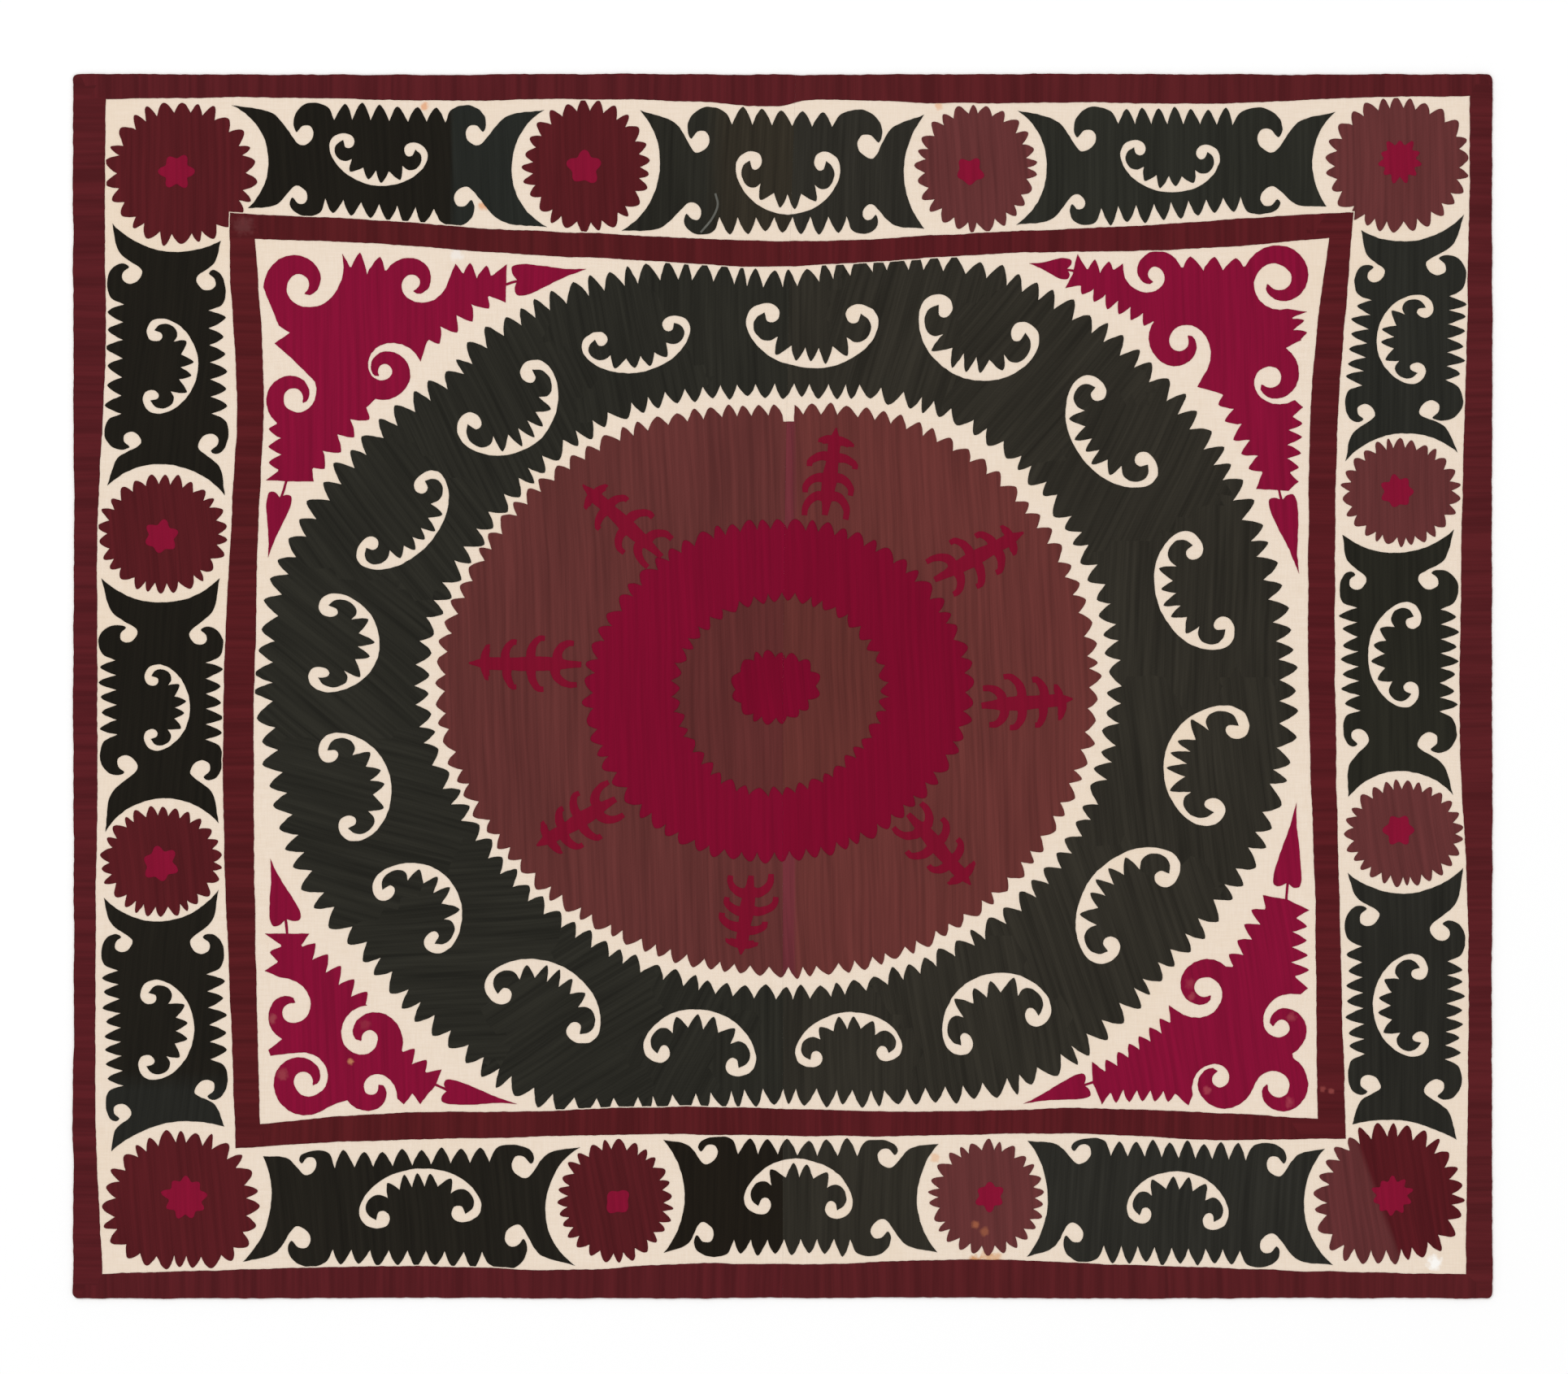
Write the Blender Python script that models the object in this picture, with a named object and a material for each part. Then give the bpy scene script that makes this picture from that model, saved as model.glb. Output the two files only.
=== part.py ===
"""Suzani: two cotton panels sewn along a centre seam, with the silk motifs as thin solids on top."""

import math
import random

import bpy
from mathutils import Vector
from mathutils.geometry import delaunay_2d_cdt

# All tables are in millimetres on a chart: x to the right, y down.
# The middle of the cloth on that chart is the origin of the model.
MM = 0.001
CHART_MIDDLE = (963.0, 844.0)
CLOTH = {"left": 90, "right": 1836, "top": 91, "bottom": 1597}
CLOTH_CORNER = 7.0
EDGE_WAVE = 1.2
COTTON_THICKNESS = 1.5
SILK_BOTTOM = 1.8
SILK_THICKNESS = 0.8
PIECE_GAP = 0.4
FIELD_MARGIN = 1.5
ROUND_GAP = 0.9
NEIGHBOUR_GAP = 1.5

# How far round a scroll or along a curve each point of an outline goes.
TURN_STEP = 52
CURVE_POINTS = 3
LOBE_TIP = 1.35
LOBE_GROWTH = 0.55
SHORTEST_EDGE = 1.2
FLATTEST_CORNER = 0.3
SMALLEST_HOLE = 4.0
TOOTH_PROFILE = ((0.0, 0.0), (0.5, 1.0))

# Where the two panels meet, as (y, x) from the top hem to the bottom hem.
SEAM = ((60, 980), (300, 972), (600, 966), (850, 963), (1640, 963))

COLOURS = {
    "cotton": (0.80, 0.69, 0.57),
    "maroon": (0.085, 0.014, 0.017),
    "brown": (0.125, 0.033, 0.032),
    "magenta": (0.225, 0.006, 0.032),
    "black": (0.020, 0.018, 0.014),
}

# Edges of the two bands, as (x, y) stations joined by straight runs.
OUTER_BAND_INSIDE = (
    ((130, 122), (300, 120), (560, 124), (700, 122), (850, 125), (960, 131), (990, 124), (1160, 127),
     (1330, 126), (1490, 128), (1650, 121), (1808, 118)),
    ((1808, 190), (1804, 430), (1799, 600), (1796, 900), (1806, 1150), (1805, 1400), (1803, 1567)),
    ((1640, 1564), (1400, 1556), (1180, 1549), (1000, 1555), (850, 1554), (700, 1562), (560, 1558),
     (420, 1558), (250, 1563), (126, 1567)),
    ((122, 1480), (118, 1390), (118, 1150), (120, 900), (120, 650), (130, 430), (129, 270)),
)
INNER_BAND_OUTSIDE = (
    ((283, 262), (450, 270), (600, 281), (750, 288), (930, 296), (1030, 296), (1200, 287), (1410, 277),
     (1560, 267), (1665, 261)),
    ((1658, 350), (1646, 510), (1642, 700), (1644, 950), (1650, 1200), (1656, 1400)),
    ((1500, 1402), (1320, 1394), (1100, 1397), (960, 1397), (800, 1395), (600, 1400), (430, 1404), (290, 1412)),
    ((284, 1250), (275, 1000), (276, 820), (286, 620), (292, 500), (284, 350)),
)
INNER_BAND_INSIDE = (
    ((314, 294), (470, 300), (610, 311), (770, 319), (930, 328), (1060, 323), (1230, 312), (1470, 306),
     (1635, 293)),
    ((1622, 390), (1612, 520), (1609, 700), (1611, 900), (1617, 1080), (1621, 1376)),
    ((1480, 1368), (1330, 1363), (1170, 1367), (1000, 1365), (850, 1361), (640, 1367), (480, 1369),
     (320, 1382)),
    ((316, 1250), (312, 950), (314, 790), (319, 620), (325, 490), (318, 350)),
)

# Edges round the centre, as the radius of the tooth tips at some angles. Angles are in degrees from the
# right and counter-clockwise, and a negative tooth height turns the teeth inward.
ROUNDS = {
    "ring_outer": {
        "centre": (962, 840), "teeth": 148, "height": 22,
        "radii": ((0, 634), (30, 614), (50, 594), (63, 579), (74, 550), (90, 508), (108, 541), (130, 570),
                  (138, 568), (146, 590), (158, 622), (170, 646), (195, 645), (215, 636), (240, 604),
                  (255, 546), (270, 520), (288, 546), (303, 588), (330, 612)),
    },
    "ring_inner": {
        "centre": (962, 840), "teeth": 106, "height": -18,
        "radii": ((0, 400), (30, 394), (60, 378), (90, 350), (120, 376), (150, 400), (180, 434), (210, 404),
                  (240, 380), (270, 372), (300, 380), (330, 396)),
    },
    "disc_outer": {
        "centre": (946, 850), "teeth": 104, "height": 14,
        "radii": ((0, 408), (30, 400), (60, 380), (90, 353), (120, 371), (150, 395), (180, 413), (210, 386),
                  (240, 358), (270, 353), (300, 370), (330, 391)),
    },
    "pink_outer": {
        "centre": (960, 850), "teeth": 66, "height": 13,
        "radii": ((0, 241), (30, 229), (60, 219), (90, 212), (120, 220), (150, 230), (180, 244), (210, 236),
                  (240, 224), (270, 211), (300, 213), (330, 225)),
    },
    "pink_inner": {
        "centre": (960, 855), "teeth": 44, "height": -11,
        "radii": ((0, 123), (60, 117), (90, 115), (120, 116), (165, 125), (210, 118), (240, 120), (285, 110),
                  (330, 112)),
    },
    "heart": {
        "centre": (955, 845), "teeth": 16, "height": 9,
        "radii": ((0, 57), (30, 55), (75, 45), (120, 49), (180, 59), (240, 50), (270, 47), (330, 49)),
    },
}

# A rosette is (x, y, radius across, radius up, teeth, tooth height, colour).
ROSETTES = {
    "rosette_top_a": (223, 213, 94, 90, 26, 15, "maroon"),
    "rosette_top_b": (722, 205, 80, 83, 25, 14, "maroon"),
    "rosette_top_c": (1201, 207, 76, 80, 25, 13, "brown"),
    "rosette_top_d": (1718, 203, 89, 84, 26, 14, "brown"),
    "rosette_left_a": (200, 657, 81, 74, 26, 13, "maroon"),
    "rosette_left_b": (199, 1059, 77, 69, 26, 13, "maroon"),
    "rosette_right_a": (1723, 606, 74, 67, 26, 12, "brown"),
    "rosette_right_b": (1727, 1025, 74, 66, 27, 12, "brown"),
    "rosette_bottom_a": (223, 1474, 95, 85, 26, 16, "maroon"),
    "rosette_bottom_b": (757, 1477, 72, 77, 27, 13, "maroon"),
    "rosette_bottom_c": (1214, 1473, 72, 72, 26, 13, "brown"),
    "rosette_bottom_d": (1710, 1467, 92, 86, 27, 17, "brown"),
}

# Three corner rosettes are drawn out to a corner of the cloth: (degrees, extra radius), as above.
SWELLS = {
    "rosette_top_d": ((30, 7),),
    "rosette_bottom_a": ((222, 14), (315, 14)),
    "rosette_bottom_d": ((222, 15), (320, 6)),
}
SWELL_SHARPNESS = 8

# Each cartouche lies along one side of the cloth. Its horns, hollows and curls are listed from its first
# end (left or top) to its last, outer edge before inner edge. Horns are the four tips (x, y). Hollows are
# the deepest points of the two curved ends. Curls are the round ends of the four scroll cuts (x, y,
# radius). Teeth are counted along the outer and the inner edge. The crescent is a hole, as in the table
# after this one.
CARTOUCHES = {
    "cartouche_top_a": {
        "outward": (0, -1),
        "horns": ((285, 130), (305, 256), (670, 136), (673, 280)),
        "hollows": ((330, 190), (629, 214)),
        "curls": ((377, 163, 9), (370, 243, 8), (582, 163, 9), (568, 246, 9)),
        "teeth": (6, 6),
        "crescent": (464, 198, 63, 30, 98),
    },
    "cartouche_top_b": {
        "outward": (0, -1),
        "horns": ((788, 136), (765, 284), (1137, 141), (1137, 282)),
        "hollows": ((812, 208), (1112, 218)),
        "curls": ((863, 171, 10), (855, 263, 8), (1066, 176, 11), (1068, 264, 7)),
        "teeth": (5, 7),
        "crescent": (969, 224, 66, 40, 91),
    },
    "cartouche_top_c": {
        "outward": (0, -1),
        "horns": ((1252, 136), (1250, 277), (1643, 138), (1632, 254)),
        "hollows": ((1288, 203), (1614, 196)),
        "curls": ((1338, 169, 10), (1328, 251, 7), (1558, 169, 11), (1560, 245, 9)),
        "teeth": (7, 8),
        "crescent": (1439, 205, 63, 32, 94),
    },
    "cartouche_left_a": {
        "outward": (-1, 0),
        "horns": ((138, 275), (272, 296), (132, 597), (277, 610)),
        "hollows": ((220, 310), (198, 571)),
        "curls": ((159, 340, 9), (257, 348, 9), (160, 539, 8), (260, 543, 9)),
        "teeth": (6, 6),
        "crescent": (210, 451, 61, 34, 3),
    },
    "cartouche_left_b": {
        "outward": (-1, 0),
        "horns": ((125, 711), (270, 711), (129, 1023), (269, 1012)),
        "hollows": ((205, 741), (197, 982)),
        "curls": ((155, 782, 8), (247, 785, 8), (153, 938, 9), (250, 944, 9)),
        "teeth": (5, 5),
        "crescent": (205, 870, 55, 29, 0),
    },
    "cartouche_left_c": {
        "outward": (-1, 0),
        "horns": ((128, 1104), (269, 1095), (137, 1416), (276, 1386)),
        "hollows": ((198, 1133), (215, 1380)),
        "curls": ((149, 1163, 8), (250, 1164, 9), (148, 1365, 8), (255, 1337, 9)),
        "teeth": (8, 5),
        "crescent": (204, 1267, 64, 35, 2),
    },
    "cartouche_right_a": {
        "outward": (1, 0),
        "horns": ((1801, 264), (1675, 283), (1793, 557), (1655, 568)),
        "hollows": ((1727, 297), (1733, 533)),
        "curls": ((1770, 330, 9), (1690, 339, 8), (1762, 502, 9), (1677, 505, 8)),
        "teeth": (6, 6),
        "crescent": (1727, 416, 57, 34, 187),
    },
    "cartouche_right_b": {
        "outward": (1, 0),
        "horns": ((1789, 652), (1651, 658), (1787, 978), (1659, 980)),
        "hollows": ((1715, 680), (1715, 949)),
        "curls": ((1761, 716, 9), (1667, 717, 8), (1760, 910, 9), (1670, 904, 8)),
        "teeth": (7, 7),
        "crescent": (1716, 805, 67, 33, 182),
    },
    "cartouche_right_c": {
        "outward": (1, 0),
        "horns": ((1799, 1067), (1658, 1073), (1792, 1402), (1664, 1383)),
        "hollows": ((1733, 1099), (1720, 1378)),
        "curls": ((1775, 1148, 9), (1681, 1130, 9), (1768, 1337, 9), (1682, 1331, 9)),
        "teeth": (7, 7),
        "crescent": (1724, 1237, 65, 35, 179),
    },
    "cartouche_bottom_a": {
        "outward": (0, 1),
        "horns": ((299, 1552), (324, 1422), (708, 1557), (714, 1411)),
        "hollows": ((334, 1468), (671, 1478)),
        "curls": ((372, 1526, 10), (382, 1431, 8), (631, 1524, 10), (640, 1431, 10)),
        "teeth": (8, 8),
        "crescent": (516, 1473, 78, 36, 266),
    },
    "cartouche_bottom_b": {
        "outward": (0, 1),
        "horns": ((817, 1541), (816, 1402), (1153, 1540), (1155, 1407)),
        "hollows": ((842, 1468), (1128, 1473)),
        "curls": ((869, 1519, 9), (874, 1416, 9), (1080, 1515, 9), (1089, 1421, 9)),
        "teeth": (7, 6),
        "crescent": (983, 1462, 69, 37, 273),
    },
    "cartouche_bottom_c": {
        "outward": (0, 1),
        "horns": ((1263, 1546), (1264, 1403), (1640, 1556), (1630, 1413)),
        "hollows": ((1289, 1466), (1604, 1482)),
        "curls": ((1324, 1520, 9), (1333, 1416, 9), (1559, 1533, 9), (1567, 1431, 9)),
        "teeth": (8, 8),
        "crescent": (1450, 1476, 65, 35, 275),
    },
}
SEAMED_CARTOUCHES = ("cartouche_top_b", "cartouche_bottom_b")
EDGE_TOOTH = 21
HORN_BULGE = 0.16
EDGE_RISE = 4.5

# A corner scroll: round its cut from the mouth to the end, as (degrees, radius), and back over the lobe that
# curls above it, as (degrees, radius, share of the way up to the edge). Degrees turn from the middle of the
# cartouche's length to its nearest edge, and the radii are in radii of the curl.
SCROLL_CUT = ((-112, 1.9), (-55, 1.25), (0, 1.0), (60, 1.0), (120, 1.0))
SCROLL_LOBE = ((190, 1.35, 0.0), (150, 2.0, 0.26), (118, 2.9, 0.68), (85, 3.8, 1.0), (45, 4.0, 0.86))
SCROLL_FOOT = 3.8

# The right half of a crescent hole from the middle of its back to the middle of its hollow side. Across
# is in half lengths, up in half depths.
CRESCENT_HALF = (
    (0.0, -1.0), (0.52, -0.74), (0.88, -0.12), (0.97, 0.38), (0.80, 0.90), (0.50, 0.98),
    (0.45, 0.50), (0.59, 0.28), (0.69, 0.68), (0.82, 0.15), (0.64, -0.16), (0.46, -0.15), (0.36, -0.72),
    (0.24, -0.30), (0.12, -0.78), (0.0, -0.36),
)

# Crescent holes in the ring: (x, y, half length, half depth, way that the round back faces, in degrees
# clockwise from the right).
RING_CRESCENTS = (
    (785, 427, 70, 31, 78),
    (999, 412, 84, 41, 91),
    (1199, 421, 79, 46, 108),
    (1359, 538, 81, 38, 146),
    (1463, 732, 79, 40, 159),
    (1479, 937, 78, 47, 196),
    (1378, 1105, 86, 43, 218),
    (1220, 1241, 72, 43, 249),
    (1043, 1278, 68, 33, 265),
    (863, 1280, 72, 38, 280),
    (674, 1224, 79, 39, 296),
    (522, 1109, 65, 41, 316),
    (441, 964, 70, 40, 345),
    (425, 793, 63, 42, 8),
    (503, 647, 77, 33, 41),
    (633, 510, 73, 43, 50),
)

# Corner motifs as walks round their outlines, counter-clockwise as seen. ("to", x, y) goes straight
# there, ("teeth", x, y, count, height) goes there by teeth, and ("curl", x, y, radius, start, sweep,
# throat, span, back) goes round a scroll. The angles are in degrees, clockwise from the right; throat
# and back are the widest radii of its inner and outer edge, in radii of its round end.
# A leaf is (x, y) at its notch, (x, y) at its tip, and its half width.
SPANDRELS = {
    "spandrel_top_left": {
        "walk": (
            ("curl", 367, 350, 13, -34, 444, 5.0, 243, 3.3),
            ("to", 343, 400),
            ("to", 357, 409),
            ("to", 338, 422),
            ("to", 357, 439),
            ("curl", 361, 490, 12, -37, 415, 2.8, 261, 3.0),
            ("teeth", 342, 580, 3, 11),
            ("to", 327, 591),
            ("to", 386, 592),
            ("to", 384, 577),
            ("teeth", 453, 500, 4, 13),
            ("curl", 474, 457, 9, -16, -555, 5.2, 328, 4.0),
            ("to", 526, 420),
            ("teeth", 602, 364, 4, 13),
            ("to", 622, 372),
            ("to", 624, 326),
            ("to", 606, 339),
            ("teeth", 569, 336, 2, 13),
            ("to", 561, 325),
            ("curl", 507, 347, 10, -5, 437, 4.6, 235, 3.4),
            ("teeth", 430, 328, 2, 18),
            ("to", 421, 312),
        ),
        "leaves": ((637, 345, 722, 331, 19), (344, 612, 330, 686, 15)),
        "stems": ((623, 350, 640, 345), (352, 591, 345, 614)),
    },
    "spandrel_top_right": {
        "walk": (
            ("curl", 1574, 343, 15, 49, 460, 3.4, 316, 3.0),
            ("teeth", 1453, 329, 3, 12),
            ("curl", 1421, 337, 9, 172, -419, 4.2, 233, 3.6),
            ("to", 1381, 324),
            ("to", 1371, 332),
            ("teeth", 1337, 331, 2, 12),
            ("to", 1325, 313),
            ("to", 1320, 337),
            ("to", 1311, 355),
            ("to", 1328, 351),
            ("teeth", 1420, 396, 6, 10),
            ("curl", 1450, 420, 12, 60, -447, 4.6, 246, 3.2),
            ("to", 1473, 476),
            ("to", 1504, 485),
            ("teeth", 1553, 582, 5, 12),
            ("to", 1545, 602),
            ("to", 1585, 603),
            ("to", 1598, 592),
            ("to", 1587, 582),
            ("teeth", 1590, 512, 4, 12),
            ("to", 1603, 502),
            ("curl", 1563, 464, 13, 44, 451, 3.4, 206, 3.2),
            ("to", 1601, 419),
            ("teeth", 1590, 391, 2, 12),
            ("to", 1608, 384),
        ),
        "leaves": ((1312, 331, 1266, 324, 13), (1577, 615, 1598, 706, 17)),
        "stems": ((1322, 334, 1308, 331), (1573, 601, 1577, 619)),
    },
    "spandrel_bottom_left": {
        "walk": (
            ("curl", 373, 1330, 12, 218, 517, 4.3, 354, 3.6),
            ("curl", 457, 1338, 9, 22, -398, 3.9, 176, 3.7),
            ("to", 497, 1358),
            ("to", 508, 1345),
            ("to", 517, 1358),
            ("to", 537, 1334),
            ("to", 543, 1315),
            ("to", 525, 1319),
            ("teeth", 495, 1293, 2, 12),
            ("curl", 455, 1277, 10, -95, -455, 3.8, 212, 4.2),
            ("teeth", 371, 1163, 5, 13),
            ("to", 380, 1149),
            ("to", 326, 1148),
            ("to", 346, 1162),
            ("teeth", 341, 1184, 1, 12),
            ("to", 325, 1194),
            ("curl", 360, 1246, 12, 250, 390, 3.9, 177, 2.9),
            ("to", 330, 1292),
        ),
        "leaves": ((348, 1131, 333, 1056, 19), (550, 1342, 636, 1358, 15)),
        "stems": ((354, 1150, 351, 1127), (536, 1334, 555, 1343)),
    },
    "spandrel_bottom_right": {
        "walk": (
            ("curl", 1573, 1337, 13, 192, 352, 2.2, 256, 3.1),
            ("curl", 1576, 1264, 10, -60, -462, 4.8, 237, 3.5),
            ("to", 1609, 1215),
            ("to", 1594, 1202),
            ("teeth", 1595, 1128, 4, 15),
            ("to", 1610, 1119),
            ("to", 1582, 1106),
            ("to", 1554, 1101),
            ("to", 1557, 1117),
            ("teeth", 1516, 1190, 4, 13),
            ("curl", 1481, 1214, 12, 140, -442, 3.5, 268, 3.1),
            ("to", 1438, 1236),
            ("to", 1440, 1257),
            ("teeth", 1359, 1318, 6, 11),
            ("to", 1344, 1306),
            ("to", 1345, 1332),
            ("to", 1355, 1358),
            ("to", 1365, 1344),
            ("teeth", 1447, 1346, 5, 11),
            ("to", 1462, 1360),
            ("curl", 1501, 1327, 10, 150, 453, 3.9, 239, 4.3),
        ),
        "leaves": ((1583, 1086, 1595, 987, 17), (1334, 1335, 1259, 1357, 15)),
        "stems": ((1582, 1109, 1584, 1082), (1347, 1330, 1331, 1336)),
    },
}
STEM_WIDTH = 3.0


def clear_scene():
    for item in list(bpy.data.objects):
        bpy.data.objects.remove(item)


def material(name, colour):
    """A Principled material in one of the named colours."""
    made = bpy.data.materials.new(name)
    made.use_nodes = True
    shader = made.node_tree.nodes["Principled BSDF"]
    shader.inputs["Base Color"].default_value = (*COLOURS[colour], 1.0)
    shader.inputs["Roughness"].default_value = 0.9 if colour == "cotton" else 0.6
    shader.inputs["Metallic"].default_value = 0.0
    return made


def along(start, end, part):
    return (start[0] + (end[0] - start[0]) * part, start[1] + (end[1] - start[1]) * part)


def polar(centre, radius, degrees):
    angle = math.radians(degrees)
    return (centre[0] + radius * math.cos(angle), centre[1] + radius * math.sin(angle))


def arc(start, through, end, count):
    """Points after start on the circle through the three points, end included."""
    (ax, ay), (bx, by), (cx, cy) = start, through, end
    a, b, c = (x * x + y * y for x, y in (start, through, end))
    twice_area = ax * (by - cy) + bx * (cy - ay) + cx * (ay - by)
    centre = (
        (a * (by - cy) + b * (cy - ay) + c * (ay - by)) / twice_area / 2,
        (a * (cx - bx) + b * (ax - cx) + c * (bx - ax)) / twice_area / 2,
    )
    first, middle, last = (
        math.degrees(math.atan2(y - centre[1], x - centre[0])) for x, y in (start, through, end)
    )
    sweep = (last - first) % 360
    if (middle - first) % 360 > sweep:
        sweep -= 360
    radius = math.dist(centre, start)
    return [polar(centre, radius, first + sweep * step / count) for step in range(1, count + 1)]


def toothed(feet, height, seed, profile=TOOTH_PROFILE):
    """A tooth between each two feet, out to the right of someone who walks along them on the chart."""
    rng = random.Random(seed)
    points = []
    for here, there in zip(feet, feet[1:]):
        length = math.dist(here, there)
        tall = height * rng.uniform(0.88, 1.08) / length
        lean = rng.uniform(-0.06, 0.06)
        for part, rise in profile:
            x, y = along(here, there, part + lean * rise)
            points.append((x - (there[1] - here[1]) * tall * rise, y + (there[0] - here[0]) * tall * rise))
    return points


def radius_at(radii, degrees):
    """Radius at an angle, on a smooth closed curve through (degrees, radius) stations."""
    degrees %= 360
    first = max(index for index, (station, _) in enumerate(radii) if station <= degrees)
    turns = ((index // len(radii) * 360, radii[index % len(radii)]) for index in range(first - 1, first + 3))
    before, here, there, after = ((turn + station, radius) for turn, (station, radius) in turns)
    length = there[0] - here[0]
    leave = (there[1] - before[1]) / (there[0] - before[0]) * length
    arrive = (after[1] - here[1]) / (after[0] - here[0]) * length
    part = (degrees - here[0]) / length
    change = there[1] - here[1]
    square = 3 * change - 2 * leave - arrive
    cube = leave + arrive - 2 * change
    return here[1] + part * (leave + part * (square + part * cube))


def round_loop(centre, radius_of, count, height, seed):
    """A closed toothed curve, with the tips of its teeth at radius_of the angle."""
    rng = random.Random(seed)
    steps = [step + rng.uniform(-0.12, 0.12) for step in range(count)]
    feet = []
    for step in [*steps, steps[0] + count]:
        degrees = -360 * step / count
        feet.append(polar(centre, radius_of(-degrees) - height, degrees))
    return toothed(feet, height, seed)


def round_edge(name, grow=0.0):
    """One of the edges round the centre, moved outward by grow."""
    edge = ROUNDS[name]
    seed = list(ROUNDS).index(name)

    def radius_of(degrees):
        return radius_at(edge["radii"], degrees) + grow

    return round_loop(edge["centre"], radius_of, edge["teeth"], edge["height"], seed)


def rosette_loop(name, grow=0.0):
    """A rosette's edge, moved outward by grow."""
    x, y, across, up, teeth, height, _ = ROSETTES[name]
    seed = 40 + list(ROSETTES).index(name)

    def radius_of(degrees):
        turn = math.radians(degrees)
        swell = sum(
            more * max(0.0, math.cos(turn - math.radians(way))) ** SWELL_SHARPNESS
            for way, more in SWELLS.get(name, ())
        )
        return 1 / math.hypot(math.cos(turn) / across, math.sin(turn) / up) + swell + grow

    return round_loop((x, y), radius_of, teeth, height, seed)


def scroll(centre, radius, start, sweep, throat, span, back):
    """The edge of a scroll cut and of the lobe that curls over it. The cut is first where it turns clockwise."""
    turn = math.copysign(1, sweep)
    points = []
    inner_steps = round(abs(sweep) / TURN_STEP)
    for step in range(inner_steps + 1):
        part = step / inner_steps
        wide = 1 + (throat - 1) * max(0.0, 1 - part / 0.55) ** 1.3
        points.append(polar(centre, radius * wide, start + sweep * part))
    outer_steps = round(span / TURN_STEP)
    for step in range(outer_steps + 1):
        part = step / outer_steps
        wide = LOBE_TIP + (back - LOBE_TIP) * part**LOBE_GROWTH
        points.append(polar(centre, radius * wide, start + sweep + turn * (8 - span * part)))
    return points if turn > 0 else points[::-1]


def placed(points, origin, across, up):
    """Points of a motif's own frame, put on the chart."""
    return [
        (origin[0] + u * across[0] + v * up[0], origin[1] + u * across[1] + v * up[1]) for u, v in points
    ]


def crescent(x, y, half_length, half_depth, facing):
    """A crescent hole, with curled ends and with teeth on its hollow side."""
    right = [(across * half_length, up * half_depth) for across, up in CRESCENT_HALF]
    left = [(-u, w) for u, w in reversed(right[1:-1])]
    out = polar((0, 0), 1, facing)
    return placed(right + left, (x, y), (-out[1], out[0]), (-out[0], -out[1]))


def corner_scroll(curl, inward, outward, horns):
    """One of a cartouche's four scrolls, from its horn to its teeth. Its edge's two horns set its height."""
    x, y, radius = curl
    part = abs((x - horns[0][0]) * inward[0] + (y - horns[0][1]) * inward[1]) / math.dist(*horns)
    edge = along(*horns, part)
    reach = (edge[0] - x) * outward[0] + (edge[1] - y) * outward[1] + EDGE_RISE
    points = [polar((0, 0), radius * wide, degrees) for degrees, wide in SCROLL_CUT]
    for degrees, wide, up in SCROLL_LOBE:
        points.append((radius * wide * math.cos(math.radians(degrees)), reach * up))
    points.append((radius * SCROLL_FOOT, reach - EDGE_TOOTH))
    return placed(points, (x, y), inward, outward)


def horn_side(horn, mouth, outward):
    """The point halfway from a horn to the mouth of its scroll, bulged out to the cartouche's edge."""
    x, y = along(horn, mouth, 0.5)
    off = (-(mouth[1] - horn[1]) * HORN_BULGE, (mouth[0] - horn[0]) * HORN_BULGE)
    way = math.copysign(1, off[0] * outward[0] + off[1] * outward[1])
    return (x + way * off[0], y + way * off[1])


def cartouche_loop(row, seed):
    """A cartouche's outline: two curved ends with horns, four scrolls, and two toothed edges."""
    outward = row["outward"]
    inner_way = (-outward[0], -outward[1])
    forward = (abs(outward[1]), abs(outward[0]))
    backward = (-forward[0], -forward[1])
    first_outer, first_inner, last_outer, last_inner = row["horns"]
    curls = row["curls"]
    outer_horns, inner_horns = (first_outer, last_outer), (first_inner, last_inner)
    sides = (
        (first_outer, row["hollows"][0], first_inner, last_inner, inner_way, row["teeth"][1],
         corner_scroll(curls[1], forward, inner_way, inner_horns),
         corner_scroll(curls[3], backward, inner_way, inner_horns[::-1])),
        (last_inner, row["hollows"][1], last_outer, first_outer, outward, row["teeth"][0],
         corner_scroll(curls[2], backward, outward, outer_horns[::-1]),
         corner_scroll(curls[0], forward, outward, outer_horns)),
    )
    loop = []
    for horn, hollow, near_horn, far_horn, way, teeth, near, far in sides:
        feet = [along(near[-1], far[-1], step / teeth) for step in range(teeth + 1)]
        direct = (feet[1][0] - feet[0][0]) * way[1] - (feet[1][1] - feet[0][1]) * way[0]
        loop += [horn, *arc(horn, hollow, near_horn, CURVE_POINTS)]
        loop += [horn_side(near_horn, near[0], way), *near[:-1]]
        loop += toothed(feet, math.copysign(EDGE_TOOTH, direct), seed + teeth)
        loop += [*far[::-1], horn_side(far_horn, far[0], way)]
    return loop


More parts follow.
